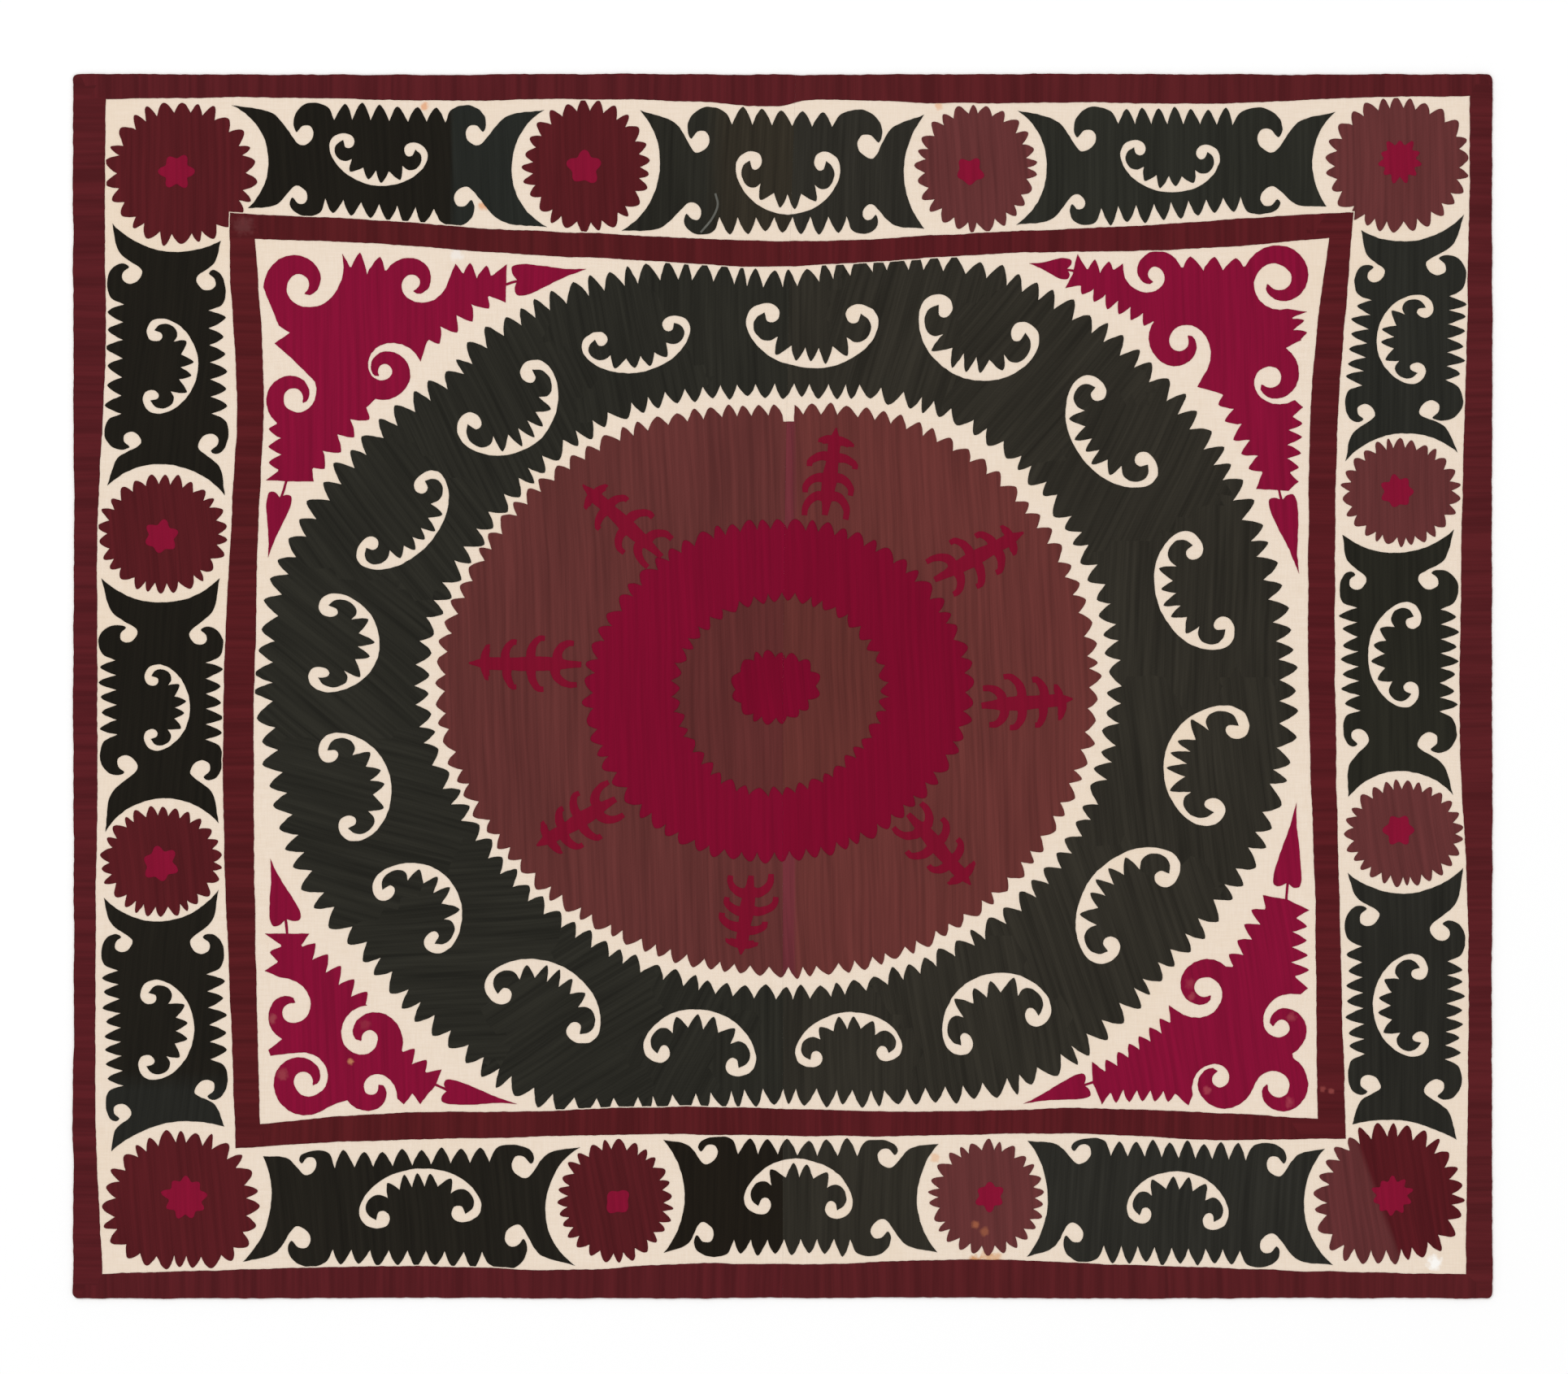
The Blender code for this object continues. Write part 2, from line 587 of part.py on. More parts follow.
def spandrel_loops(row, seed):
    """The outline of a corner motif, and those of its leaves and their stems."""
    outline = []
    for kind, *values in row["walk"]:
        if kind == "to":
            outline.append(tuple(values))
        elif kind == "teeth":
            x, y, count, height = values
            feet = [along(outline[-1], (x, y), step / count) for step in range(count + 1)]
            outline += [*toothed(feet, height, seed)[1:], (x, y)]
        else:
            x, y, *turning = values
            outline += scroll((x, y), *turning)
    loops = [outline]
    for base_x, base_y, tip_x, tip_y, half_width in row["leaves"]:
        length = math.dist((base_x, base_y), (tip_x, tip_y))
        ahead = ((tip_x - base_x) / length, (tip_y - base_y) / length)
        side = (-ahead[1], ahead[0])
        half = ((0, 0), (-5, 0.5), (-4, 0.9), (6, 1.0), (0.35 * length, 0.72), (0.7 * length, 0.25))
        right = [(u, v * half_width) for u, v in half]
        leaf = [*right, (length, 0), *[(u, -v) for u, v in reversed(right[1:])]]
        loops.append(placed(leaf, (base_x, base_y), ahead, side))
    for x0, y0, x1, y1 in row["stems"]:
        length = math.dist((x0, y0), (x1, y1))
        side = (-(y1 - y0) / length * STEM_WIDTH / 2, (x1 - x0) / length * STEM_WIDTH / 2)
        loops.append([(x + way * side[0], y + way * side[1]) for x, y, way in
                      ((x0, y0, -1), (x1, y1, -1), (x1, y1, 1), (x0, y0, 1))])
    return loops


def band_loop(sides, grow=0.0):
    """A band's edge, from its top left corner clockwise. Grow moves it outward, or inward if negative."""
    points = [point for side in sides for point in side]
    middle = CHART_MIDDLE
    half = ((CLOTH["right"] - CLOTH["left"]) / 2, (CLOTH["bottom"] - CLOTH["top"]) / 2)
    return [
        (x + grow * max(-1, min(1, 1.35 * (x - middle[0]) / half[0])) ** 9,
         y + grow * max(-1, min(1, 1.5 * (y - middle[1]) / half[1])) ** 9) for x, y in points
    ]


def cloth_loop():
    """The cloth's edge, with small waves and rounded corners."""
    left, right, top, bottom = (CLOTH[side] for side in ("left", "right", "top", "bottom"))
    corners = ((left, top, 180), (right, top, 270), (right, bottom, 0), (left, bottom, 90))
    points = []
    for (x, y, first), (next_x, next_y, _) in zip(corners, corners[1:] + corners[:1]):
        inner = (
            x + math.copysign(CLOTH_CORNER, CHART_MIDDLE[0] - x),
            y + math.copysign(CLOTH_CORNER, CHART_MIDDLE[1] - y),
        )
        points += [polar(inner, CLOTH_CORNER, first + turn) for turn in (0, 30, 60, 90)]
        for step in range(1, 8):
            here = along((x, y), (next_x, next_y), step / 8)
            wave = EDGE_WAVE * (0.5 + 0.5 * math.sin(2.3 * step + first))
            points.append(polar(here, wave, first - 90))
    return points


def half_plane(side):
    """The part of the chart on one side of the seam, less half of the gap between two pieces."""
    shift = -PIECE_GAP / 2 if side == "left" else PIECE_GAP / 2
    seam = [(x + shift, y) for y, x in SEAM]
    far = 0 if side == "left" else 2 * CHART_MIDDLE[0]
    return [(far, SEAM[0][0]), *seam, (far, SEAM[-1][0])]


def counter_clockwise(loop):
    """The loop turned so that its inside is on the left, as the triangulation needs."""
    twice_area = sum(x0 * y1 - x1 * y0 for (x0, y0), (x1, y1) in zip(loop, loop[1:] + loop[:1]))
    return loop if twice_area > 0 else loop[::-1]


def triangulated(steps):
    """Points and triangles of what is left after each (kind, loop) step, where kind is add, cut or clip."""
    points, faces = [], []
    for _, loop in steps:
        faces.append(list(range(len(points), len(points) + len(loop))))
        points += [Vector(point) for point in counter_clockwise(loop)]
    verts, _, triangles, _, _, origins = delaunay_2d_cdt(points, [], faces, 1, 1e-4)
    left = []
    for triangle, inside in zip(triangles, origins):
        kept = False
        for index, (kind, _) in enumerate(steps):
            if index in inside:
                kept = kind == "add" or (kind == "clip" and kept)
            elif kind == "clip":
                kept = False
        if kept:
            left.append(triangle)
    return verts, left


def rim_of(triangles):
    """Edges with a triangle on one side only, with the triangle on their left."""
    edges = {edge for triangle in triangles for edge in zip(triangle, triangle[1:] + triangle[:1])}
    return sorted(edge for edge in edges if edge[::-1] not in edges)


def combined(steps):
    """Outlines of what is left after the steps: the largest one and its holes."""
    verts, triangles = triangulated(steps)
    loops = [thinned([tuple(verts[index]) for index in loop]) for loop in joined(rim_of(triangles), verts)]
    return largest_with_holes(loops)


def joined(rim, verts):
    """The rim's edges as closed loops. Where two loops touch, each edge goes on with the sharpest left turn."""
    following = {}
    for first, last in rim:
        following.setdefault(first, []).append(last)
    loops = []
    while following:
        start = min(following)
        loop = [start]
        here = following[start].pop()
        if not following[start]:
            del following[start]
        while here != start:
            back = verts[loop[-1]] - verts[here]
            ways = following[here]
            ways.sort(key=lambda way: (back.angle_signed(verts[way] - verts[here]) - 1e-6) % (2 * math.pi))
            loop.append(here)
            here = ways.pop(0)
            if not ways:
                del following[loop[-1]]
        loops.append(loop)
    return loops


def thinned(loop):
    """The loop without points that are nearly on a neighbour or on the line between both."""
    kept = []
    for index, point in enumerate(loop):
        before = kept[-1] if kept else loop[index - 1]
        after = loop[(index + 1) % len(loop)]
        ahead = (after[0] - before[0], after[1] - before[1])
        area = abs((point[0] - before[0]) * ahead[1] - (point[1] - before[1]) * ahead[0])
        if math.dist(before, point) >= SHORTEST_EDGE and area > FLATTEST_CORNER * math.hypot(*ahead):
            kept.append(point)
    return kept


def signed_area(loop):
    return sum(x0 * y1 - x1 * y0 for (x0, y0), (x1, y1) in zip(loop, loop[1:] + loop[:1])) / 2


def largest_with_holes(loops):
    """The largest outline and the holes, without islands left over by a cut."""
    loops = [loop for loop in loops if len(loop) > 2]
    outline = max(loops, key=signed_area)
    return [outline] + [loop for loop in loops if signed_area(loop) < -SMALLEST_HOLE]


def add_solid(name, loops, bottom, thickness, colour, collection):
    """A flat solid with these outlines: a lower and an upper face, and a wall along each loop."""
    kinds = ["add"] + ["cut"] * (len(loops) - 1)
    chart = [[(x - CHART_MIDDLE[0], CHART_MIDDLE[1] - y) for x, y in loop] for loop in loops]
    verts, triangles = triangulated(list(zip(kinds, chart)))
    count = len(verts)
    points = [(x * MM, y * MM, z * MM) for z in (bottom, bottom + thickness) for x, y in verts]
    faces = [triangle[::-1] for triangle in triangles]
    faces += [[index + count for index in triangle] for triangle in triangles]
    faces += [(first, last, last + count, first + count) for first, last in rim_of(triangles)]
    mesh = bpy.data.meshes.new(name)
    mesh.from_pydata(points, [], faces)
    mesh.materials.append(material(f"{name}_{colour}", colour))
    collection.objects.link(bpy.data.objects.new(name, mesh))


def motifs():
    """Every silk motif as (name, colour, steps, whether the seam cuts it)."""
    outer_band_inside = band_loop(OUTER_BAND_INSIDE)
    inner_band = (band_loop(INNER_BAND_OUTSIDE), band_loop(INNER_BAND_INSIDE))
    border = [
        ("clip", band_loop(OUTER_BAND_INSIDE, -FIELD_MARGIN)),
        ("cut", band_loop(INNER_BAND_OUTSIDE, FIELD_MARGIN)),
    ]
    field = [("clip", band_loop(INNER_BAND_INSIDE, -FIELD_MARGIN))]
    yield "outer_band", "maroon", [("add", cloth_loop()), ("cut", outer_band_inside)], True
    yield "inner_band", "maroon", [("add", inner_band[0]), ("cut", inner_band[1])], True
    ring = [("add", round_edge("ring_outer")), ("cut", round_edge("ring_inner"))]
    ring += [("cut", crescent(*row)) for row in RING_CRESCENTS]
    yield "ring", "black", ring + field, True
    for name, colour, outer, inner in (
        ("disc", "brown", round_edge("disc_outer"), round_edge("pink_outer", ROUND_GAP)),
        ("pink_ring", "magenta", round_edge("pink_outer"), round_edge("pink_inner")),
        ("inner_disc", "brown", round_edge("pink_inner", -ROUND_GAP), round_edge("heart", ROUND_GAP)),
    ):
        yield name, colour, [("add", outer), ("cut", inner)], True
    yield "heart", "magenta", [("add", round_edge("heart"))], True
    for name, row in ROSETTES.items():
        yield name, row[-1], [("add", rosette_loop(name)), *border], False
    neighbours = [("cut", rosette_loop(name, NEIGHBOUR_GAP)) for name in ROSETTES]
    for order, (name, row) in enumerate(CARTOUCHES.items()):
        steps = [("add", cartouche_loop(row, 60 + order)), ("cut", crescent(*row["crescent"]))]
        yield name, "black", steps + neighbours + border, name in SEAMED_CARTOUCHES
    neighbours = [("cut", round_edge("ring_outer", NEIGHBOUR_GAP))]
    for order, (name, row) in enumerate(SPANDRELS.items()):
        loops = [("add", loop) for loop in spandrel_loops(row, 90 + order)]
        yield name, "magenta", loops + neighbours + field, False


def build():
    clear_scene()
    collection = bpy.data.collections.new("suzani")
    bpy.context.scene.collection.children.link(collection)
    for side in ("left", "right"):
        outline = combined([("add", cloth_loop()), ("clip", half_plane(side))])
        add_solid(f"panel_{side}", outline, 0.0, COTTON_THICKNESS, "cotton", collection)
    for name, colour, steps, split in motifs():
        if split:
            for side in ("left", "right"):
                outline = combined([*steps, ("clip", half_plane(side))])
                add_solid(f"{name}_{side}", outline, SILK_BOTTOM, SILK_THICKNESS, colour, collection)
        else:
            add_solid(name, combined(steps), SILK_BOTTOM, SILK_THICKNESS, colour, collection)


build()
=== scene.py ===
"""Suzani: the cotton panels and the couched silk motifs as they look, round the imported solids."""

import math
import random

import bpy
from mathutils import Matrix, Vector, kdtree, noise
from mathutils.geometry import delaunay_2d_cdt

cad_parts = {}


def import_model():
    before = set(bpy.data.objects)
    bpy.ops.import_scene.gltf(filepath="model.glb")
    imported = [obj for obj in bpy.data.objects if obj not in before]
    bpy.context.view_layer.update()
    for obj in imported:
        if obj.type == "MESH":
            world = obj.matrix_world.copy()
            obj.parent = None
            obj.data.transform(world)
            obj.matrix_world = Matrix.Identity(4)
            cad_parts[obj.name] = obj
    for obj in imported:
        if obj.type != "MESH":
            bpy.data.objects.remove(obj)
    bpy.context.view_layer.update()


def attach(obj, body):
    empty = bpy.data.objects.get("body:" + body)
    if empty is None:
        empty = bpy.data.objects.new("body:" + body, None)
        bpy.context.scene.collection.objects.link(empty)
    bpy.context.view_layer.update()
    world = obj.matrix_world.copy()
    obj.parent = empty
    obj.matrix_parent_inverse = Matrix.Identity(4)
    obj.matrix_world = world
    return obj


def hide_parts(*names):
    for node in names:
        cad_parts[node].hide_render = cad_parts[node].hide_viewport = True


# All tables are in millimetres on a chart: x to the right, y down. The middle of the cloth on that chart is
# the origin of the model. Angles are in degrees.
MM = 0.001
CHART_MIDDLE = (963.0, 844.0)
CLOTH = {"left": 90, "right": 1836, "top": 91, "bottom": 1597}

# The cloth's edge has round corners, drawn in steps, and each of its sides waves a little in some parts.
CLOTH_CORNER = 7.0
CORNER_STEP = 15
EDGE_PARTS = 8
EDGE_WAVE = 1.2
EDGE_WAVE_TURN = 2.3

# How high the layers reach, and how deep the marks on top sink into the silk.
COTTON_TOP = 1.5
SILK_TOP = 2.7
MARK_TOP = 3.3
MARK_SINK = 0.2

# Gaps along the seam and between motifs. A band's edge moves out only near its own side: the reach says how
# soon that starts, across and up.
PIECE_GAP = 0.1
SEAM_REACH = 0.3
FIELD_MARGIN = 1.5
NEIGHBOUR_GAP = 1.5
SIDE_REACH = (1.35, 1.5)
SIDE_SHARPNESS = 9

# How fine the outlines are, and what is small enough to leave out. The triangulation gives back only what
# lies inside the loops.
CURVE_STEP = 3.0
HOLLOW_POINTS = 40
SHORTEST_EDGE = 0.5
FLATTEST_CORNER = 0.04
SMALLEST_HOLE = 4.0
WELD_DISTANCE = 1e-4
INSIDE_TRIANGLES = 1
TINY = 1e-6

# How far a hand-drawn line wanders, as (length of a bend, reach), and how much its teeth differ. The wander
# has a seed of its own, and each kind of motif counts the seeds of its teeth from a number of its own.
WANDERS = ((7.0, 0.6), (45.0, 1.1))
WANDER_SEED = 7
TOOTH_POINTS = 10
TOOTH_GROWTH = (0.82, 1.1)
TOOTH_LEAN = 0.1
TOOTH_SHIFT = 0.2
DEEP_ROOT = 0.4
ROSETTE_SEED = 40
CARTOUCHE_SEED = 60
SPANDREL_SEED = 90

# A scroll of a corner motif: how its cut narrows from the throat, as a share of its length and a power, and
# how the lobe over it widens from its tip, which lies some degrees past the end of the cut.
TURN_STEP = 14
THROAT_LENGTH = 0.55
THROAT_FALL = 2.0
LOBE_TIP = 1.1
LOBE_GROWTH = 0.6
LOBE_LEAD = 8

# The upper face of each piece rolls down to its edge over this width, with rows of points on the way. The
# edge itself stands this share of the piece's height.
EDGE_ROLL = 1.8
EDGE_ROWS = (0.6, 1.7)
EDGE_STAND = 0.45
EDGE_CLEARANCE = 0.9
RIM_STEP = 3.0

# Points inside a piece: how far apart they and their rows are, how far off the grid, and how far from the
# edge. All but the first two are shares of the step.
GRID_STEP = 16.0
COTTON_GRID_STEP = 20.0
GRID_ROW = 0.87
GRID_SCATTER = 0.15
GRID_CLEARANCE = 0.4

# The whole cloth lies in waves this high and this long, too low to see but for the light on them.
WAVE_HEIGHT = 0.7
WAVE_LENGTH = 170.0
WAVE_SLICE = 3.7

# Noise in the materials as (scale, detail), or as (scale along, scale across) the rows, with its detail.
NOISES = {"drift": (5.0, 1.0), "patch": (4.0, 2.0), "grain": (160.0, 2.0), "aged": (3.0, 4.0)}
THREAD_WIDTH = 1.3
SILK_NOISES = {
    "thread": (12.0, 1 / (THREAD_WIDTH * MM)),
    "strand": (6.0, 170.0, 3.0),
    "batch": (2.5, 60.0),
}
SLUB_NOISES = ((40.0, 500.0), (520.0, 45.0))

# Silk: its rows, their drift and its tie stitches, then the share of each layer in its tone and its height.
# A surface is (bump strength, bump distance, roughness, gloss).
ROW_WIDTH = 9.5
ROW_DRIFT = 0.012
TIE_LENGTH = 4.0
TIE_SLANT = 0.6
SILK_TONES = {"thread": 1.0, "strand": 1.7, "batch": 0.9, "patch": 0.5}
# Painted shade: the rows' ridges and the tie stitches also lift and lower the tone in step with their
# height, so the grooves between them are painted darker and their crests lighter.
ROW_SHADE_IN_TONE = {"ridge": 0.08, "ties": 0.04}
SILK_HEIGHTS = {"ridge": 0.5, "thread": 0.9, "ties": 0.22, "strand": 0.7}
SILK_SURFACE = (0.35, 0.0005, 0.6, 0.05)
BAR_SHARE = 3
ZONE_WOBBLE = 0.006

# Cotton: the lengths of its weave in metres, its shares of tone, its colours for the eye, and its
# yellowing, as (noise where it starts, noise where it is full, its strength).
WEAVE_LENGTHS = (0.0011, 0.0012)
WEAVE_SHARE = 0.08
SLUB_SHARE = 0.8
COTTON_DARK = (228, 209, 188)
COTTON_LIGHT = (241, 226, 210)
COTTON_YELLOWED = (230, 206, 174)
YELLOWING = (0.52, 0.75, 0.35)
COTTON_SURFACE = (0.3, 0.0003, 0.92, 0.1)

# A mark fades between these shares of its radius, and its edge is ragged by this share.
MARK_EDGE = (0.5, 1.2)
MARK_RAGGED = 1.6

# Where the two panels meet, as (y, x) from the top hem to the bottom hem.
SEAM = ((60, 980), (300, 972), (600, 966), (850, 963), (1640, 963))

# Edges of the two bands, as (x, y) stations joined by straight runs.
OUTER_BAND_INSIDE = (
    ((130, 122), (300, 120), (560, 124), (700, 122), (850, 125), (960, 131), (990, 124), (1160, 127),
     (1330, 126), (1490, 128), (1650, 121), (1808, 118)),
    ((1808, 190), (1804, 430), (1799, 600), (1796, 900), (1806, 1150), (1805, 1400), (1803, 1567)),
    ((1640, 1564), (1400, 1556), (1180, 1549), (1000, 1555), (850, 1554), (700, 1562), (560, 1558),
     (420, 1558), (250, 1563), (126, 1567)),
    ((122, 1480), (118, 1390), (118, 1150), (120, 900), (120, 650), (130, 430), (129, 270)),
)
INNER_BAND_OUTSIDE = (
    ((283, 262), (450, 270), (600, 281), (750, 288), (930, 296), (1030, 296), (1200, 287), (1410, 277),
     (1560, 267), (1665, 261)),
    ((1658, 350), (1646, 510), (1642, 700), (1644, 950), (1650, 1200), (1656, 1400)),
    ((1500, 1402), (1320, 1394), (1100, 1397), (960, 1397), (800, 1395), (600, 1400), (430, 1404),
     (290, 1412)),
    ((284, 1250), (275, 1000), (276, 820), (286, 620), (292, 500), (284, 350)),
)
INNER_BAND_INSIDE = (
    ((314, 294), (470, 300), (610, 311), (770, 319), (930, 328), (1060, 323), (1230, 312), (1470, 306),
     (1635, 293)),
    ((1622, 390), (1612, 520), (1609, 700), (1611, 900), (1617, 1080), (1621, 1376)),
    ((1480, 1368), (1330, 1363), (1170, 1367), (1000, 1365), (850, 1361), (640, 1367), (480, 1369),
     (320, 1382)),
    ((316, 1250), (312, 950), (314, 790), (319, 620), (325, 490), (318, 350)),
)

# Edges round the centre, as the radius of the tooth tips at some angles. Angles are in degrees from the
# right and counter-clockwise, and a negative tooth height turns the teeth inward.
ROUNDS = {
    "ring_outer": {
        "centre": (962, 840), "teeth": 148, "height": 22,
        "radii": ((0, 634), (30, 614), (50, 594), (63, 579), (74, 550), (90, 508), (108, 541), (130, 570),
                  (138, 568), (146, 590), (158, 622), (170, 646), (195, 645), (204, 642), (213, 622),
                  (226, 612), (240, 602), (255, 546), (270, 520), (288, 546), (303, 588), (322, 596),
                  (334, 617), (343, 632)),
    },
    "ring_inner": {
        "centre": (962, 840), "teeth": 106, "height": -18,
        "radii": ((0, 400), (30, 394), (60, 378), (90, 350), (120, 376), (150, 400), (180, 434), (210, 404),
                  (240, 380), (270, 372), (300, 380), (330, 396)),
    },
    "disc_outer": {
        "centre": (946, 850), "teeth": 104, "height": 14,
        "radii": ((0, 408), (30, 400), (60, 380), (90, 353), (120, 371), (150, 395), (180, 413), (210, 386),
                  (240, 358), (270, 353), (300, 370), (330, 391)),
    },
    "pink_outer": {
        "centre": (960, 850), "teeth": 66, "height": 13,
        "radii": ((0, 241), (30, 229), (60, 219), (90, 212), (120, 220), (150, 230), (180, 244), (210, 236),
                  (240, 224), (270, 211), (300, 213), (330, 225)),
    },
    "pink_inner": {
        "centre": (960, 855), "teeth": 44, "height": -11,
        "radii": ((0, 123), (60, 117), (90, 115), (120, 116), (165, 125), (210, 118), (240, 120), (285, 110),
                  (330, 112)),
    },
    "heart": {
        "centre": (955, 845), "teeth": 16, "height": 9,
        "radii": ((0, 57), (30, 55), (75, 45), (120, 49), (180, 59), (240, 50), (270, 47), (330, 49)),
    },
}

# A rosette is (x, y, radius across, radius up, teeth, tooth height, colour).
ROSETTES = {
    "rosette_top_a": (223, 213, 94, 90, 26, 15, "maroon"),
    "rosette_top_b": (722, 205, 80, 83, 25, 14, "maroon"),
    "rosette_top_c": (1201, 207, 76, 80, 25, 13, "brown"),
    "rosette_top_d": (1718, 203, 89, 84, 26, 14, "brown"),
    "rosette_left_a": (200, 657, 81, 74, 26, 13, "maroon"),
    "rosette_left_b": (199, 1059, 77, 69, 26, 13, "maroon"),
    "rosette_right_a": (1723, 606, 74, 67, 26, 12, "brown"),
    "rosette_right_b": (1727, 1025, 74, 66, 27, 12, "brown"),
    "rosette_bottom_a": (223, 1474, 95, 85, 26, 16, "maroon"),
    "rosette_bottom_b": (757, 1477, 72, 77, 27, 13, "maroon"),
    "rosette_bottom_c": (1214, 1473, 72, 72, 26, 13, "brown"),
    "rosette_bottom_d": (1710, 1467, 92, 86, 27, 17, "brown"),
}

# Three corner rosettes are drawn out to a corner of the cloth: (degrees, extra radius), as above.
SWELLS = {
    "rosette_top_d": ((30, 7),),
    "rosette_bottom_a": ((222, 14), (315, 14)),
    "rosette_bottom_d": ((222, 15), (320, 6)),
}
SWELL_SHARPNESS = 8

# Which way is outward on each side of the cloth.
OUTWARD = {"top": (0, -1), "left": (-1, 0), "right": (1, 0), "bottom": (0, 1)}

# Each cartouche lies along the side in its name. Its horns, hollows and curls are listed from its first end
# (left or top) to its last, outer edge before inner edge. Horns are the four tips (x, y). Hollows are the
# deepest points of the two curved ends. Curls are the round ends of the four scroll cuts (x, y, radius).
# Teeth are counted along the outer and the inner edge. The crescent is a hole, as in the next table.
CARTOUCHES = {
    "cartouche_top_a": {
        "horns": ((285, 130), (305, 256), (670, 136), (673, 280)),
        "hollows": ((330, 190), (629, 214)),
        "curls": ((377, 163, 9), (370, 243, 8), (582, 163, 9), (568, 246, 9)),
        "teeth": (6, 6),
        "crescent": (464, 198, 63, 30, 98),
    },
    "cartouche_top_b": {
        "horns": ((788, 136), (765, 284), (1137, 141), (1137, 282)),
        "hollows": ((812, 208), (1112, 218)),
        "curls": ((863, 171, 10), (855, 263, 8), (1066, 176, 11), (1068, 264, 7)),
        "teeth": (5, 7),
        "crescent": (969, 224, 66, 40, 91),
    },
    "cartouche_top_c": {
        "horns": ((1252, 136), (1250, 277), (1643, 138), (1632, 254)),
        "hollows": ((1288, 203), (1614, 196)),
        "curls": ((1338, 169, 10), (1328, 251, 7), (1558, 169, 11), (1560, 245, 9)),
        "teeth": (7, 8),
        "crescent": (1439, 205, 63, 32, 94),
    },
    "cartouche_left_a": {
        "horns": ((138, 275), (272, 296), (132, 597), (277, 610)),
        "hollows": ((220, 310), (198, 571)),
        "curls": ((159, 340, 9), (257, 348, 9), (160, 539, 8), (260, 543, 9)),
        "teeth": (6, 6),
        "crescent": (210, 451, 61, 34, 3),
    },
    "cartouche_left_b": {
        "horns": ((125, 711), (270, 711), (129, 1023), (269, 1012)),
        "hollows": ((205, 741), (197, 982)),
        "curls": ((155, 782, 8), (247, 785, 8), (153, 938, 9), (250, 944, 9)),
        "teeth": (5, 5),
        "crescent": (205, 870, 55, 29, 0),
    },
    "cartouche_left_c": {
        "horns": ((128, 1104), (269, 1095), (137, 1416), (276, 1386)),
        "hollows": ((198, 1133), (215, 1380)),
        "curls": ((149, 1163, 8), (250, 1164, 9), (148, 1365, 8), (255, 1337, 9)),
        "teeth": (8, 5),
        "crescent": (204, 1267, 64, 35, 2),
    },
    "cartouche_right_a": {
        "horns": ((1801, 264), (1675, 283), (1793, 557), (1655, 568)),
        "hollows": ((1727, 297), (1733, 533)),
        "curls": ((1770, 330, 9), (1690, 339, 8), (1762, 502, 9), (1677, 505, 8)),
        "teeth": (6, 6),
        "crescent": (1727, 416, 57, 34, 187),
    },
    "cartouche_right_b": {
        "horns": ((1789, 652), (1651, 658), (1787, 978), (1659, 980)),
        "hollows": ((1715, 680), (1715, 949)),
        "curls": ((1761, 716, 9), (1667, 717, 8), (1760, 910, 9), (1670, 904, 8)),
        "teeth": (7, 7),
        "crescent": (1716, 805, 67, 33, 182),
    },
    "cartouche_right_c": {
        "horns": ((1799, 1067), (1658, 1073), (1792, 1402), (1664, 1383)),
        "hollows": ((1733, 1099), (1720, 1378)),
        "curls": ((1775, 1148, 9), (1681, 1130, 9), (1768, 1337, 9), (1682, 1331, 9)),
        "teeth": (7, 7),
        "crescent": (1724, 1237, 65, 35, 179),
    },
    "cartouche_bottom_a": {
        "horns": ((299, 1552), (324, 1422), (708, 1557), (714, 1411)),
        "hollows": ((334, 1468), (671, 1478)),
        "curls": ((372, 1526, 10), (382, 1431, 8), (631, 1524, 10), (640, 1431, 10)),
        "teeth": (8, 8),
        "crescent": (516, 1473, 78, 36, 266),
    },
    "cartouche_bottom_b": {
        "horns": ((817, 1541), (816, 1402), (1153, 1540), (1155, 1407)),
        "hollows": ((842, 1468), (1128, 1473)),
        "curls": ((869, 1519, 9), (874, 1416, 9), (1080, 1515, 9), (1089, 1421, 9)),
        "teeth": (7, 6),
        "crescent": (983, 1462, 69, 37, 273),
    },
    "cartouche_bottom_c": {
        "horns": ((1263, 1546), (1264, 1403), (1640, 1556), (1630, 1413)),
        "hollows": ((1289, 1466), (1604, 1482)),
        "curls": ((1324, 1520, 9), (1333, 1416, 9), (1559, 1533, 9), (1567, 1431, 9)),
        "teeth": (8, 8),
        "crescent": (1450, 1476, 65, 35, 275),
    },
}

# Crescent holes in the ring: (x, y, half length, half depth, way that the round back faces, in degrees
# clockwise from the right).
RING_CRESCENTS = (
    (785, 427, 70, 31, 78),
    (999, 412, 84, 41, 91),
    (1199, 421, 79, 46, 108),
    (1359, 538, 81, 38, 146),
    (1463, 732, 79, 40, 159),
    (1479, 937, 78, 47, 196),
    (1378, 1105, 86, 43, 218),
    (1220, 1241, 72, 43, 249),
    (1043, 1278, 68, 33, 265),
    (863, 1280, 72, 38, 280),
    (674, 1224, 79, 39, 296),
    (522, 1109, 65, 41, 316),
    (441, 964, 70, 40, 345),
    (425, 793, 63, 42, 8),
    (503, 647, 77, 33, 41),
    (633, 510, 73, 43, 50),
)

